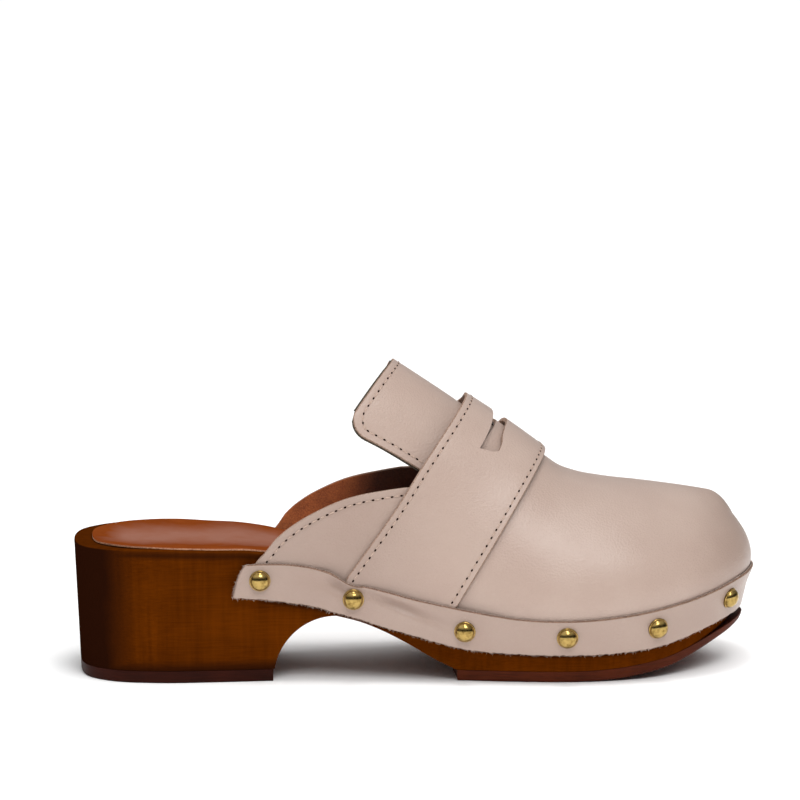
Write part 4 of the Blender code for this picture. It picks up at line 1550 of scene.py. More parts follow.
        # Mask of the worn middle of the foot bed, whose pale colour is partly a painted sheen
        x, y, _ = sizes(mesh)
        rubbed = 1.0 - self.worn_side.at(np.abs(y - self.worn_middle))
        mark(mesh, "rubbed", rubbed * self.worn_start.at(x))
        piece = mesh_object("sock_leather", mesh, [self.finishes.sock, self.finishes.sock_cut])
        return dress(piece, Slot.SOCK, "sock")

    def build(self) -> None:
        """Build every piece of the sole."""
        self.build_wood()
        self.build_lift()
        self.build_outsole()
        self.build_sock()


@dataclass
class Upper:
    """Vamp and both side wings in one wall, lined, open at the collar and underneath."""

    last: FootForm
    finishes: Finishes
    stitching: Stitching
    gap: float = 0.3 * MM
    wall: float = 1.8 * MM
    lining_wall: float = 0.6 * MM
    start: float = 63.7 * MM
    column_step: float = 1.6 * MM
    rear_end: float = 83.8 * MM
    rear_columns: int = 36
    throat_start: float = 102.5 * MM
    throat_columns: int = 24
    section_rows: int = 56
    margin_rows: int = 5
    collar_band: float = 0.12
    edge_radius: float = 0.5 * MM
    inner_round: float = 0.3
    lining_radius: float = 0.2 * MM
    lining_lower: float = 0.25 * MM
    stitch_inset: float = 2.8 * MM
    stitch_start: float = 66.2 * MM
    stitch_end: float = 106.0 * MM
    # Painted shade inside the shoe: how dark the lining gets, and where towards the front that begins
    inside_painted_shade: float = 0.85
    inside_shade_fade: Fade = Fade(96 * MM, 22 * MM)

    @property
    def face(self) -> float:
        """Lift of the outer face."""
        return self.gap + self.wall

    def stations(self) -> Array:
        """Stations of the columns, even along the sole's edge but closer at the rear and the throat."""
        first = self.last.loop_place(Side.OUTER, self.start)
        count = int(round((self.last.tip - first) / self.column_step))
        even = self.last.edge(np.linspace(first, self.last.tip, count + 1))[0]
        throat = np.linspace(self.throat_start, COLLAR["station"][-1], self.throat_columns)
        rear = np.linspace(even[0], self.rear_end, self.rear_columns)
        clear = (even > rear[-1]) & (even < throat[0]) | (even > throat[-1])
        return np.sort(np.concatenate((rear, even[clear], throat)))

    def collar(self, stations: Array) -> Array:
        """Turn of the collar's edge at stations."""
        return np.clip(COLLAR.at("turn", stations), -1.0, 1.0)

    def grid(self, radius: float, lower: float) -> tuple[Array, Array, Array]:
        """Rows from the hidden margin to the collar.

        Args:
            radius: radius of the collar's rounded edge.
            lower: how far the edge stays under the collar line.

        Returns:
            Loop positions, turns, and how far each face drops at the collar.
        """
        stations = self.stations()
        place = np.concatenate(
            (self.last.partner(Side.OUTER, stations), self.last.partner(Side.INNER, stations[:-1])[::-1])
        )
        top = self.collar(stations)
        top = np.concatenate((top, top[-2::-1]))
        is_open = top < 1.0
        step = 0.01
        rise = np.linalg.norm(self.last.form(place, top) - self.last.form(place, top - step), axis=-1) / step
        top = top - np.where(is_open, lower / rise, 0.0)
        nose, fall = rounded_rows(10 * radius, radius, (0.0, radius))
        nose, fall = 10 * radius - nose[-NOSE_ROWS:], fall[-NOSE_ROWS:]
        shoulder = top - nose[0] / rise
        feather = np.minimum(0.0, shoulder - self.collar_band)
        margin = np.linspace(0.0, 1.0, self.margin_rows + 1)[:, None]
        section = np.linspace(0.0, 1.0, self.section_rows + 1)[1:, None]
        body = np.concatenate((-1.0 + (1.0 + feather) * margin, feather + (shoulder - feather) * section))
        turn = np.concatenate((body, top - nose[1:, None] / rise))
        drop = np.zeros_like(turn)
        drop[-NOSE_ROWS:] = fall[:, None] * is_open
        return np.broadcast_to(place, turn.shape), turn, drop

    def wing_lines(self) -> Lines:
        """Loop positions and turns of the stitch row along each wing's edge."""
        stations = np.linspace(self.stitch_start, self.stitch_end, 120)
        lines = []
        for side in Side:
            order = stations if side is Side.INNER else stations[::-1]
            place = self.last.partner(side, order)
            lines.append(self.last.inset(place, self.collar(order), self.stitch_inset))
        return lines

    def build(self) -> None:
        """Build the leather, its lining and the stitches."""
        lines = self.wing_lines()
        rows = [(self.last.skin(p, t, self.face), self.last.normal(p, t)) for p, t in lines]
        place, turn, drop = self.grid(self.edge_radius, 0.0)
        middle = self.gap + self.lining_wall
        high = self.last.skin(place, turn, self.face)
        sewn = np.concatenate([row[0] for row in rows])
        groove = self.stitching.groove(high, sewn)
        high = self.last.skin(place, turn, self.face - drop - groove)
        low = self.last.skin(place, turn, middle + LAYER_GAP + drop * self.inner_round)
        # painted shade on the upper, low at the rear and round the toe
        mesh = antique(leather_sheet("upper", low, high, None, cut_cells(drop)))
        dress(mesh_object("upper_leather", mesh, self.finishes.sheet()), Slot.LEATHER, "upper")
        place, turn, drop = self.grid(self.lining_radius, self.lining_lower)
        low, high = (self.last.skin(place, turn, lift) for lift in (self.gap + drop, middle - drop))
        lining = self.finishes.lining
        mesh = leather_sheet("lining", low, high)
        # painted shade on the lining, darker towards the front inside the shoe
        mark(mesh, "inside", self.inside_painted_shade * self.inside_shade_fade.at(sizes(mesh)[0]))
        dress(mesh_object("upper_lining", mesh, [lining, lining, lining]), Slot.LEATHER)
        dress(self.stitching.sew("wing_stitches", rows), Slot.LEATHER)


def distance(points: Array, line: Array) -> Array:
    """Distance of each point of a grid from the nearest point of a line."""
    flat = points.reshape(-1, 3)
    near = np.full(len(flat), np.inf)
    for spot in line:
        near = np.minimum(near, np.square(flat - spot).sum(axis=1))
    return np.sqrt(near).reshape(points.shape[:-1])


@dataclass
class Tongue:
    """Flap that stands up over the instep, two layers sewn round the edge."""

    last: FootForm
    finishes: Finishes
    stitching: Stitching
    gap: float = 0.5 * MM
    wall: float = 2.0 * MM
    lining_wall: float = 0.85 * MM
    end: float = 74.6 * MM
    root: float = 126.0 * MM
    turn: float = 0.392
    sweep_outer: float = -4.6 * MM
    sweep_inner: float = 2.6 * MM
    bow_outer: float = -0.35 * MM
    bow_inner: float = 0.3 * MM
    corner: float = 8.0 * MM
    corner_turn: float = 0.10
    spring: float = 2.0 * MM
    spring_fade: float = 1.6
    half_girth: float = 43.0 * MM
    step: float = 1.1 * MM
    edge_radius: float = 0.5 * MM
    inner_round: float = 0.2
    lining_proud: float = 0.45 * MM
    stitch_inset: float = 2.3 * MM
    stitch_reach: float = 0.7
    stitch_bend: float = 4.0 * MM

    def surface(self, sides: list[Side], climb: Array, along: Array) -> tuple[Array, Array]:
        """Loop positions and turns of the flap.

        Args:
            sides: side of each row.
            climb: share of each row's way from the lower edge to the ridge.
            along: distances from the free end.

        Returns:
            Loop positions and turns in rows.
        """
        back = np.clip(1.0 - along / self.corner, 0.0, 1.0)
        low = self.turn + self.corner_turn * (1.0 - np.sqrt(1.0 - back * back))
        turns = low[None, :] + (1.0 - low[None, :]) * climb[:, None]
        outer = np.array([side is Side.OUTER for side in sides])[:, None]
        down = (1.0 - turns) / (1.0 - self.turn)
        sweep = np.where(outer, self.sweep_outer, self.sweep_inner) * down
        bow = np.where(outer, self.bow_outer, self.bow_inner)
        sweep = sweep + bow * np.sin(math.pi * np.clip(down, 0.0, 1.0))
        sweep = sweep * (1.0 - along[None, :] / (self.root - self.end))
        station = self.end + sweep + along[None, :]
        place = np.array([self.last.partner(side, line) for side, line in zip(sides, station)])
        return place, turns

    def sprung(self, climb: Array, along: Array) -> Array:
        """How far the flap springs up from the foot form, most at the free end's crest."""
        free = np.clip(1.0 - along / (self.root - self.end), 0.0, 1.0)
        return self.spring * climb * free ** self.spring_fade

    def stitch_lines(self) -> Lines:
        """Points and normals of the row round the free edge, from strap to strap."""
        length = self.root - self.end
        across = self.stitch_inset / self.half_girth
        reach, bend = self.stitch_reach * length, self.stitch_bend
        climb, along, sides = [], [], []
        for side in Side:
            run = np.linspace(reach, self.stitch_inset + bend, 60)
            turn = np.linspace(0.0, math.pi / 2, 16)[1:]
            arc_along = self.stitch_inset + bend * (1.0 - np.sin(turn))
            arc_climb = across + bend / self.half_girth * (1.0 - np.cos(turn))
            over = np.linspace(arc_climb[-1], 1.0, 60)[1:]
            half_along = np.concatenate((run, arc_along, np.full(len(over), self.stitch_inset)))
            half_climb = np.concatenate((np.full(len(run), across), arc_climb, over))
            order = slice(None) if side is Side.OUTER else slice(-2, None, -1)
            along.append(half_along[order])
            climb.append(half_climb[order])
            sides += [side] * len(half_along[order])
        climb, along = np.concatenate(climb), np.concatenate(along)
        place, turn = self.surface(sides, climb, along)
        pick = np.arange(len(sides))
        place, turn = place[pick, pick], turn[pick, pick]
        lift = self.sprung(climb, along) - self.gap
        return [(self.last.skin(place, turn, lift), self.last.normal(place, turn))]

    def layer(self, name: str, top: float, wall: float, inset: float, groove_at: Array | None,
              materials: list[Material]) -> Piece:
        """One layer of the flap.

        Args:
            name: the piece's name.
            top: lift of its outer face.
            wall: its thickness.
            inset: how far its free edges stay behind the flap's own.
            groove_at: points of the stitch row that presses into it.
            materials: its materials.

        Returns:
            The piece.
        """
        length = self.root - self.end
        radius = min(self.edge_radius, wall * 0.45)
        along, end_drop = rounded_rows(length - inset, self.step, (radius, 0.0))
        girth, low_drop = rounded_rows(self.half_girth - inset, self.step, (radius, 0.0))
        sides, climb = over_the_ridge((girth + inset) / self.half_girth)
        drop = np.concatenate((low_drop, low_drop[-2::-1]))
        place, turn = self.surface(sides, climb, along + inset)
        drop = np.maximum(drop[:, None], end_drop[None, :])
        top = top + self.sprung(climb[:, None], (along + inset)[None, :])
        high = self.last.skin(place, turn, top)
        groove = 0.0
        if groove_at is not None:
            groove = self.stitching.groove(high, groove_at)
        high = self.last.skin(place, turn, top - drop - groove)
        low = self.last.skin(place, turn, top - wall + drop * self.inner_round)
        return mesh_object(name, leather_sheet(name, low, high, None, cut_cells(drop)), materials)

    def build(self) -> None:
        """Build both layers and the stitches."""
        rows = self.stitch_lines()
        leather_wall = self.wall - self.lining_wall
        face = self.layer(
            "tongue_leather", -self.gap, leather_wall - LAYER_GAP, 0.0, rows[0][0], self.finishes.sheet()
        )
        dress(face, Slot.LEATHER, "tongue")
        # the lining's edges carry painted shade
        materials = [self.finishes.lining_edge_shade, self.finishes.lining_edge_shade, self.finishes.lining]
        back = self.layer(
            "tongue_lining", -self.gap - leather_wall, self.lining_wall, -self.lining_proud, None, materials
        )
        dress(back, Slot.LEATHER)
        dress(self.stitching.sew("tongue_stitches", rows), Slot.LEATHER)


@dataclass
class SaddleStrap:
    """Strap over the instep with the slot cut across its crest, tucked under the band at both ends."""

    last: FootForm
    finishes: Finishes
    stitching: Stitching
    gap: float = 0.3 * MM
    upper_face: float = 2.1 * MM
    wall: float = 1.4 * MM
    tuck: float = 7.0 * MM
    stand_rear: float = 0.8 * MM
    stand_front: float = 1.1 * MM
    stand_turn: float = 0.7
    step: float = 1.2 * MM
    width: float = 39.8 * MM
    girth: float = 95.0 * MM
    inner_shift: float = 2.2 * MM
    shift_turn: float = 0.2
    slot_round: float = 1.8 * MM
    slot_skew: float = 0.035
    slot_reach: float = 0.13
    slot_past: float = 1.5
    slot_clear: float = 0.1
    slot_columns: int = 7
    crest_step: float = 0.72 * MM
    edge_radius: float = 0.5 * MM
    inner_round: float = 0.2
    stitch_inset: float = 2.4 * MM

    @staticmethod
    def edges(turn: Array) -> tuple[Array, Array]:
        """Stations of the rear and of the front edge at turns."""
        rear, front = (hermite(STRAP["turn"], STRAP[name], turn) for name in ("rear", "front"))
        return rear, front

    def place(self, sides: list[Side], turn: Array, share: Array) -> Array:
        """Loop positions of the strap's points, row by row."""
        rear, front = self.edges(turn)
        inner = np.array([side is Side.INNER for side in sides])[:, None]
        rear = rear + self.inner_shift * smoothstep((1.0 - turn) / self.shift_turn) * inner
        station = rear + (front - rear) * share
        return np.array([self.last.partner(side, line) for side, line in zip(sides, station)])

    def under(self, turn: Array, share: Array) -> Array:
        """Lift of the strap's flesh side."""
        stand = self.stand_rear + (self.stand_front - self.stand_rear) * share
        return self.upper_face + self.gap + stand * smoothstep(turn / self.stand_turn)

    def rows(self) -> tuple[list[Side], Array, Array]:
        """Rows over the ridge and which of them run beside the slot."""
        middle = float((STRAP["rear"][0] + STRAP["front"][0]) / 2)
        foot = self.last.loop_place(Side.OUTER, middle)
        low = float(self.last.turn_at(foot, BAND.at("top", self.last.edge(foot)[0]) - self.tuck))
        end = SLOT["turn"][0]
        flank = self.last.even_turns(middle, low, end, self.step)
        slotted = self.last.even_turns(middle, end, 1.0, self.crest_step)
        sides, turn = over_the_ridge(np.concatenate((flank, slotted[1:])))
        beside = np.zeros(len(turn) - 1, dtype=bool)
        beside[len(flank) - 1:len(turn) - len(flank)] = True
        return sides, turn, beside

    def shares(self, turn: Array) -> tuple[Array, Array, slice]:
        """Places across the strap in each row, with the slot's edges among them.

        Args:
            turn: turns of the rows.

        Returns:
            Shares of the width, how far the faces drop there, and the slot's columns.
        """
        ends = self.edges(turn)
        rear, front = (
            (np.interp(turn, SLOT["turn"], SLOT[name]) - ends[0]) / (ends[1] - ends[0])
            for name in ("rear", "front")
        )
        past_end = np.clip(1.0 - (turn - SLOT["turn"][0]) * self.girth / self.slot_round, 0.0, 1.0)
        front = front - self.slot_round * (1.0 - np.sqrt(1.0 - past_end * past_end)) / self.width
        wide, drop = rounded_rows(self.width, self.step, (self.edge_radius, self.edge_radius))
        share = wide / self.width
        middle = float((rear + front).mean() / 2)
        left, right = share[share < middle - self.slot_clear], share[share > middle + self.slot_clear]
        inner = np.linspace(0.0, 1.0, self.slot_columns)[None, :]
        columns = np.concatenate((
            left[None, :] / left[-1] * rear[:, None],
            (rear[:, None] + (front - rear)[:, None] * inner)[:, 1:-1],
            1.0 - (1.0 - right[None, :]) / (1.0 - right[0]) * (1.0 - front[:, None]),
        ), axis=1)
        drops = np.concatenate((drop[:len(left)], np.zeros(inner.shape[1] - 2), drop[-len(right):]))
        return columns, drops, slice(len(left) - 1, len(left) + inner.shape[1] - 2)

    def stitch_lines(self) -> Lines:
        """Points and normals of the rows along both edges."""
        sides, turn, _ = self.rows()
        lines = []
        for share in (self.stitch_inset / self.width, 1.0 - self.stitch_inset / self.width):
            place = self.place(sides, turn[:, None], np.array([[share]]))[:, 0]
            lift = self.under(turn, share) + self.wall
            lines.append((self.last.skin(place, turn, lift), self.last.normal(place, turn)))
        return lines

    def build(self) -> None:
        """Build the strap and its stitches."""
        rows = self.stitch_lines()
        sides, turn, beside = self.rows()
        share, drop, slot = self.shares(turn)
        slot_width = (SLOT["front"] - SLOT["rear"])[0]
        past_rear = (share - share[:, [slot.start]]) * self.width / slot_width
        past_rear = np.clip(past_rear, 0.0, self.slot_past)
        near_foot = bell((turn[:, None] - SLOT["turn"][0]) / self.slot_reach)
        skew = self.slot_skew * past_rear * near_foot * (turn[:, None] < 1.0)
        turns = np.minimum(turn[:, None] + skew, 1.0)
        place = self.place(sides, turns, share)
        under = self.under(turns, share)
        face = self.last.skin(place, turns, under + self.wall)
        groove = self.stitching.groove(face, np.concatenate([row[0] for row in rows]))
        high = self.last.skin(place, turns, under + self.wall - drop[None, :] - groove)
        low = self.last.skin(place, turns, under + drop[None, :] * self.inner_round)
        hole = np.zeros((len(turn) - 1, share.shape[1] - 1), dtype=bool)
        hole[beside, slot] = True
        cut = cut_cells(np.broadcast_to(drop[None, :], place.shape))
        # painted shade on the strap's lower part
        mesh = antique(leather_sheet("saddle_strap", low, high, hole, cut))
        dress(mesh_object("saddle_strap_leather", mesh, self.finishes.sheet()), Slot.LEATHER, "saddle_strap")
        dress(self.stitching.sew("strap_stitches", rows), Slot.LEATHER)


@dataclass
class NailedBand:
    """Leather band round the sole's edge, nailed on with domed studs."""

    last: FootForm
    finishes: Finishes
    fringe: Fringe
    gap: float = 0.3 * MM
    upper_face: float = 2.1 * MM
    strap_wall: float = 1.4 * MM
    wall: float = 1.3 * MM
    toe_wall: float = 0.9 * MM
    thin_start: float = 190.0 * MM
    thin_end: float = 242.0 * MM
    start: float = 57.0 * MM
    end_lean: float = 2.6 * MM
    end_corner: float = 3.0 * MM
    end_fade: float = 25.0 * MM
    ramp: float = 15.0 * MM
    height: float = 13.5 * MM
    step: float = 0.75 * MM
    column_step: float = 0.65 * MM
    low_radius: float = 0.5 * MM
    top_radius: float = 0.5 * MM
    ragged: float = 0.35 * MM
    ragged_waves: tuple[float, ...] = (0.9 * MM, 1.7 * MM, 3.1 * MM, 7.3 * MM)
    ragged_seed: int = 5
    skive: float = 0.9 * MM
    skive_depth: float = 0.7 * MM
    ease_rounds: int = 8
    top_fibres: float = 0.5
    stud_radius: float = 3.9 * MM
    stud_rim: float = 0.5 * MM
    stud_ledge: float = 0.3 * MM
    stud_dome: float = 2.6 * MM
    stud_root: float = 1.3 * MM
    stud_taper: float = 0.2 * MM
    stud_turns: int = 32
    stud_seat: float = 0.4
    press: float = 0.3 * MM
    press_width: float = 4.6 * MM
    slack: float = 0.2 * MM
    # Painted shade: the whole band is darkened this much, and its crease troughs more, fully at this depth
    # and at most by this share
    rubbed: float = 0.34
    full_crease_shade: float = 2.2 * MM
    crease_shade_limit: float = 0.7
    creases: tuple[Crease, ...] = (
        Crease(118 * MM, 10.0 * MM, 12 * MM, 2.0 * MM, 1.2 * MM, -0.13),
        Crease(117 * MM, 13.2 * MM, 13 * MM, 1.7 * MM, -0.7 * MM, -0.02),
        Crease(123 * MM, 7.0 * MM, 11 * MM, 1.5 * MM, -0.5 * MM, -0.13),
        Crease(95.5 * MM, 10.4 * MM, 4.2 * MM, 2.4 * MM, 1.15 * MM),
        Crease(92 * MM, 5.5 * MM, 8 * MM, 2.6 * MM, -0.5 * MM),
    )

    def lift(self, place: Array) -> Array:
        """Lift of the band's flesh side, with a step over the strap's ends."""
        crest = self.last.crest(place)
        feet = np.array((STRAP["rear"][0], STRAP["front"][0]))
        rear, front = self.last.crest(self.last.loop_place(Side.OUTER, feet))
        on = smoothstep((crest - rear + self.ramp) / self.ramp)
        off = smoothstep((front + self.ramp - crest) / self.ramp)
        return self.upper_face + self.gap + (self.strap_wall + self.gap) * on * off

    def seats(self) -> Lines:
        """Foot and outward direction of every stud."""
        seats = []
        for side in Side:
            for station, height in zip(STUDS["station"], STUDS["height"]):
                place = self.last.partner(side, station)
                drop = BAND.at("bottom", self.last.edge(place)[0]) - BAND.at("bottom", station)
                reach = self.stud_radius
                ahead, behind = (self.face(place + step, height + drop) for step in (reach, -reach))
                above, below = (self.face(place, height + drop + step) for step in (reach, -reach))
                outward = np.cross(ahead - behind, above - below)
                outward = outward / np.linalg.norm(outward)
                centre = self.face(place, height + drop)
                rims = (ahead, behind, above, below)
                proud = max(0.0, *(float(np.dot(rim - centre, outward)) for rim in rims))
                seats.append((centre + outward * proud * self.stud_seat, outward))
        return seats

    def wall_at(self, place: Array) -> Array:
        """Thickness of the band, thinner round the toe."""
        thinned = smoothstep((self.last.edge(place)[0] - self.thin_start) / (self.thin_end - self.thin_start))
        return self.wall + (self.toe_wall - self.wall) * thinned

    def face(self, place: Array, height: Array) -> Array:
        """Point on the band's outer face at a height."""
        return self.last.skin(place, self.last.turn_at(place, height), self.lift(place) + self.wall_at(place))

    def build_band(self, seats: Lines) -> None:
        """Build the band, pressed in at its studs, with painted shade over it and in its creases, and the
        fibres of its raw edges.
        """
        first = self.last.loop_place(Side.OUTER, self.start)
        count = int(round((self.last.tip - first) / self.column_step))
        nose, _ = rounded_rows(4 * self.skive, self.skive / 4, (self.skive, 0.0))
        outer = np.concatenate((first + nose, np.linspace(first + 4 * self.skive, self.last.tip, count)[1:]))
        stations = self.last.edge(outer)[0]
        place = np.concatenate((outer, self.last.partner(Side.INNER, stations[:-1])[::-1]))
        from_end = np.concatenate((outer - first, (outer - first)[-2::-1]))
        across, drop = rounded_rows(self.height, self.step, (self.low_radius, self.top_radius))
        rise = (across / self.height)[:, None]
        near_end = np.clip(1.0 - (stations - self.start) / self.end_fade, 0.0, 1.0)
        near_end = np.concatenate((near_end, near_end[-2::-1]))
        toward_toe = np.where(place < self.last.tip, 1.0, -1.0)
        round_end = self.end_lean * rise + self.end_corner * (1.0 - np.sqrt(1.0 - rise ** 4))
        grid = place[None, :] + (near_end * toward_toe)[None, :] * round_end
        station = self.last.edge(grid)[0]
        low, high = BAND.at("bottom", station), BAND.at("top", station)
        ragged = self.ragged * ripple(grid, self.ragged_waves, self.ragged_seed)
        height = low + (high - low) * rise + ragged * (1.0 - rise) ** 4
        turn = self.last.turn_at(grid, height)
        under = self.lift(grid)
        wall = self.wall_at(grid)
        base = self.last.skin(grid, turn, under + wall)
        sunk = self.press * bell(distance(base, np.array([seat[0] for seat in seats])) / self.press_width)
        for crease in self.creases:
            sunk = sunk + crease.sink(station, across[:, None])
        end = np.clip(1.0 - from_end / self.skive, 0.0, 1.0)
        thin = self.skive_depth * (1.0 - np.sqrt(1.0 - end * end))
        fall = np.maximum(drop[:, None], thin[None, :])
        outside = self.last.skin(grid, turn, under + wall - fall)
        inside = self.last.skin(grid, turn, under)
        nose = NOSE_ROWS
        for face in (outside, inside):
            for _ in range(self.ease_rounds):
                body = face[nose - 1:-nose - 1] + 2.0 * face[nose:-nose] + face[nose + 1:1 - nose]
                face[nose:-nose] = body / 4.0
        normal = self.last.normal(grid, turn)
        outside = outside - normal * sunk[..., None]
        inside = inside - normal * np.minimum(sunk, self.slack)[..., None]
        cut = cut_cells(np.broadcast_to(drop[:, None], fall.shape))
        mesh = leather_sheet("rand", inside, outside, None, cut)
        # Painted shade: a darker tone over the whole band, darker still in the troughs of its creases
        x, _, z = sizes(mesh)
        low, high = BAND.at("bottom", x), BAND.at("top", x)
        crease_shade = sum(crease.sink(x, (z - low) / (high - low) * self.height) for crease in self.creases)
        antique(mesh, self.rubbed + np.clip(crease_shade / self.full_crease_shade, 0.0, self.crease_shade_limit))
        # the band's cut edges carry partly painted shadow
        materials = [self.finishes.leather, self.finishes.band_edge_and_shadow, self.finishes.flesh]
        dress(mesh_object("band_leather", mesh, materials), Slot.LEATHER, "rand")
        middle = (inside + outside) / 2.0
        edges = (
            (middle[0], middle[nose - 1]),
            (middle[-1], middle[-nose]),
            (middle[:, 0], middle[:, nose - 1]),
            (middle[:, -1], middle[:, -nose]),
        )
        lines = [(edge, edge - within) for edge, within in edges]
        lines = [(edge, way / np.linalg.norm(way, axis=-1, keepdims=True)) for edge, way in lines]
        dress(self.fringe.grow("band_fibres", lines[:1] + lines[2:], 1.0), Slot.LEATHER)
        dress(self.fringe.grow("band_top_fibres", lines[1:2], self.top_fibres), Slot.LEATHER)

    def stud(self) -> Piece:
        """Domed nail head on a thin rolled rim, turned about its own axis."""
        dome = self.stud_radius - self.stud_ledge
        profile = [(self.stud_radius - self.stud_taper, -self.stud_root), (self.stud_radius, 0.0)]
        roll = self.stud_rim / 2
        for angle in np.linspace(-math.pi / 2, math.pi / 2, 6):
            profile.append((self.stud_radius - roll + roll * math.cos(angle), roll + roll * math.sin(angle)))
        for angle in np.linspace(0.0, math.pi / 2, 14):
            profile.append((dome * math.cos(angle), self.stud_rim + self.stud_dome * math.sin(angle)))
        shape = bmesh.new()
        verts = [shape.verts.new((radius, 0.0, height)) for radius, height in profile]
        edges = [shape.edges.new(pair) for pair in zip(verts, verts[1:])]
        bmesh.ops.spin(
            shape, geom=verts + edges, cent=(0, 0, 0), axis=(0, 0, 1),
            angle=2 * math.pi, steps=self.stud_turns,
        )
        bmesh.ops.remove_doubles(shape, verts=shape.verts, dist=WELD / 2)
        bmesh.ops.holes_fill(shape, edges=shape.edges)
        return mesh_object("stud_shape", finished("stud_shape", shape, SHARP_EDGE), [self.finishes.brass])

    def build_studs(self, seats: Lines) -> Piece:
        """Set a stud on every seat."""
        tree = NodeModifier("stud_row", {"Stud": "NodeSocketObject", "Brass": "NodeSocketMaterial"})
        graph = tree.graph
        up = graph.node("GeometryNodeInputNamedAttribute", {"data_type": "FLOAT_VECTOR"}, {"Name": "up"})
        turned = graph.node("FunctionNodeAlignRotationToVector", {"axis": "Z"}, {"Vector": up})
        shape = graph.node("GeometryNodeObjectInfo", None, {"Object": tree.input("Stud")}, "Geometry")
        points = graph.node("GeometryNodeMeshToPoints", None, {"Mesh": tree.entry})
        values = {"Points": points, "Instance": shape, "Rotation": turned}
        tree.close((graph.node("GeometryNodeInstanceOnPoints", None, values), "Brass"))
        base = path_mesh("studs", [(foot[None, :], up_way[None, :]) for foot, up_way in seats])
        stud = self.stud()
        piece = tree.run("brass_studs", base, {"Stud": stud, "Brass": self.finishes.brass})
        bpy.data.objects.remove(stud)
        count = len(STUDS["station"])
        nodes = [f"stud_{side.name.lower()}_{number}" for side in Side for number in range(1, count + 1)]
        return dress(piece, Slot.BRASS, *nodes)

    def build(self) -> None:
        """Build the band and its studs."""
        seats = self.seats()
        self.build_band(seats)
        self.build_studs(seats)


@dataclass(frozen=True)
class Softbox:
    """A square soft light that faces the shoe."""

    name: str
    place: Place
    size: float
    power: float


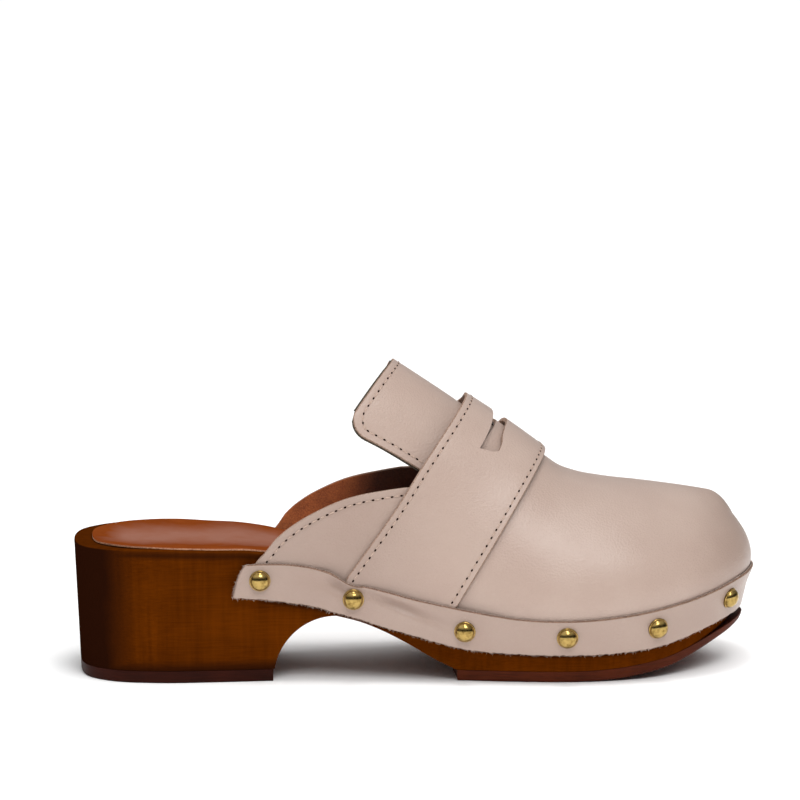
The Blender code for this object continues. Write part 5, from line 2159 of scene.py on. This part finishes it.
@dataclass
class Studio:
    """Pale floor, soft light and the photo's camera."""

    target: Place = (-0.88 * MM, 0.24 * MM, 45.0 * MM)
    distance: float = 1600.0 * MM
    azimuth: float = -5.0
    elevation: float = 10.5
    focal_pixels: float = 4292.8
    target_pixel: tuple[float, float] = (413.48, 543.53)
    image_size: float = 800.0
    sensor: float = 36.0
    floor_size: float = 24.0
    wash: float = 1.6
    wash_way: Place = (-0.36, 0.16, -1.0)
    wash_angle: float = 56.0
    glow: float = 0.74
    least_glow: float = 0.08
    backdrop_glow: float = 0.5
    left_glow: float = 0.45
    softboxes: tuple[Softbox, ...] = (
        Softbox("key", (0.12, -0.95, 1.2), 0.6, 7.6),
        Softbox("top", (0.0, -0.2, 1.4), 0.3, 3.4),
    )

    def floor(self) -> Piece:
        """Lay the floor."""
        shader = Shader("pale_floor")
        cloud = shader.noise(shader.place(), 300 * MM, 2.0)
        shader.set(base_color=shader.mix(cloud, (0.96, 0.96, 0.96), (0.98, 0.98, 0.98)), roughness=0.8)
        shape = bmesh.new()
        bmesh.ops.create_grid(shape, x_segments=2, y_segments=2, size=self.floor_size / 2)
        mesh = bpy.data.meshes.new("floor")
        shape.to_mesh(mesh)
        shape.free()
        floor = mesh_object("floor", mesh, [shader.material])
        return floor

    def floor_wash(self, floor: Piece) -> None:
        """Even light from above that falls on the floor alone and keeps it white."""
        data = bpy.data.lights.new("floor_wash", "SUN")
        data.energy = self.wash
        data.angle = math.radians(self.wash_angle)
        lamp = link("floor_wash", data)
        lamp.rotation_euler = Vector(self.wash_way).to_track_quat("-Z", "Y").to_euler()
        lit = bpy.data.collections.new("floor_wash")
        lit.objects.link(floor)
        lamp.light_linking.receiver_collection = lit

    def world(self) -> None:
        """Light from a wide soft ceiling and a pale backdrop, dark behind the camera."""
        world = bpy.data.worlds.new("studio")
        bpy.context.scene.world = world
        world.use_nodes = True
        graph = Graph(world.node_tree)
        way = graph.node("ShaderNodeTexCoord", output="Generated")
        height = graph.node("ShaderNodeSeparateXYZ", None, {"Vector": way}, "Z")
        behind = height.output("Y")
        ceiling = graph.node("ShaderNodeValToRGB", {"stops": [(0.30, 0.0), (0.62, 1.0)]}, {"Fac": height})
        backdrop = graph.node("ShaderNodeValToRGB", {"stops": [(0.05, 0.0), (0.45, 1.0)]}, {"Fac": behind})
        glow = height.math("MAXIMUM", ceiling, backdrop * self.backdrop_glow)
        glow = glow * (1.0 - self.least_glow) + self.least_glow
        glow = glow * (1.0 - height.output("X") * self.left_glow)
        background = world.node_tree.nodes["Background"]
        graph.feed(background.inputs["Color"], glow)
        background.inputs["Strength"].default_value = self.glow

    def hang(self, box: Softbox) -> None:
        """Hang a softbox so that it faces the shoe."""
        data = bpy.data.lights.new(box.name, "AREA")
        data.energy = box.power
        data.size = box.size
        lamp = link(box.name, data)
        lamp.location = box.place
        way = Vector(self.target) - Vector(box.place)
        lamp.rotation_euler = way.to_track_quat("-Z", "Y").to_euler()

    def camera(self) -> None:
        """Stand the camera where the photo was taken."""
        around, up = math.radians(self.azimuth), math.radians(self.elevation)
        back = Vector((math.sin(around) * math.cos(up), -math.cos(around) * math.cos(up), math.sin(up)))
        right = Vector((math.cos(around), math.sin(around), 0.0))
        higher = back.cross(right)
        centre = self.image_size / 2
        aside, down = self.target_pixel[0] - centre, self.target_pixel[1] - centre
        ahead = -back * self.focal_pixels - right * aside + higher * down
        data = bpy.data.cameras.new("camera")
        data.sensor_width = self.sensor
        data.lens = self.focal_pixels * self.sensor / self.image_size
        camera = link("camera", data)
        camera.location = Vector(self.target) + back * self.distance
        camera.rotation_euler = ahead.to_track_quat("-Z", "Y").to_euler()
        bpy.context.scene.camera = camera

    def build(self) -> None:
        """Set the scene up."""
        bpy.context.scene.view_settings.view_transform = "Standard"
        self.camera()
        self.floor_wash(self.floor())
        self.world()
        for box in self.softboxes:
            self.hang(box)


def main() -> None:
    """Build the shoe round the solids."""
    logging.basicConfig(level=logging.INFO, format="%(message)s")
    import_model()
    Studio().build()
    last = FootForm()
    finishes = Finishes()
    stitching = Stitching(finishes)
    WoodenSole(last, finishes).build()
    Upper(last, finishes, stitching).build()
    Tongue(last, finishes, stitching).build()
    SaddleStrap(last, finishes, stitching).build()
    NailedBand(last, finishes, Fringe(finishes)).build()


if __name__ == "__main__":
    main()
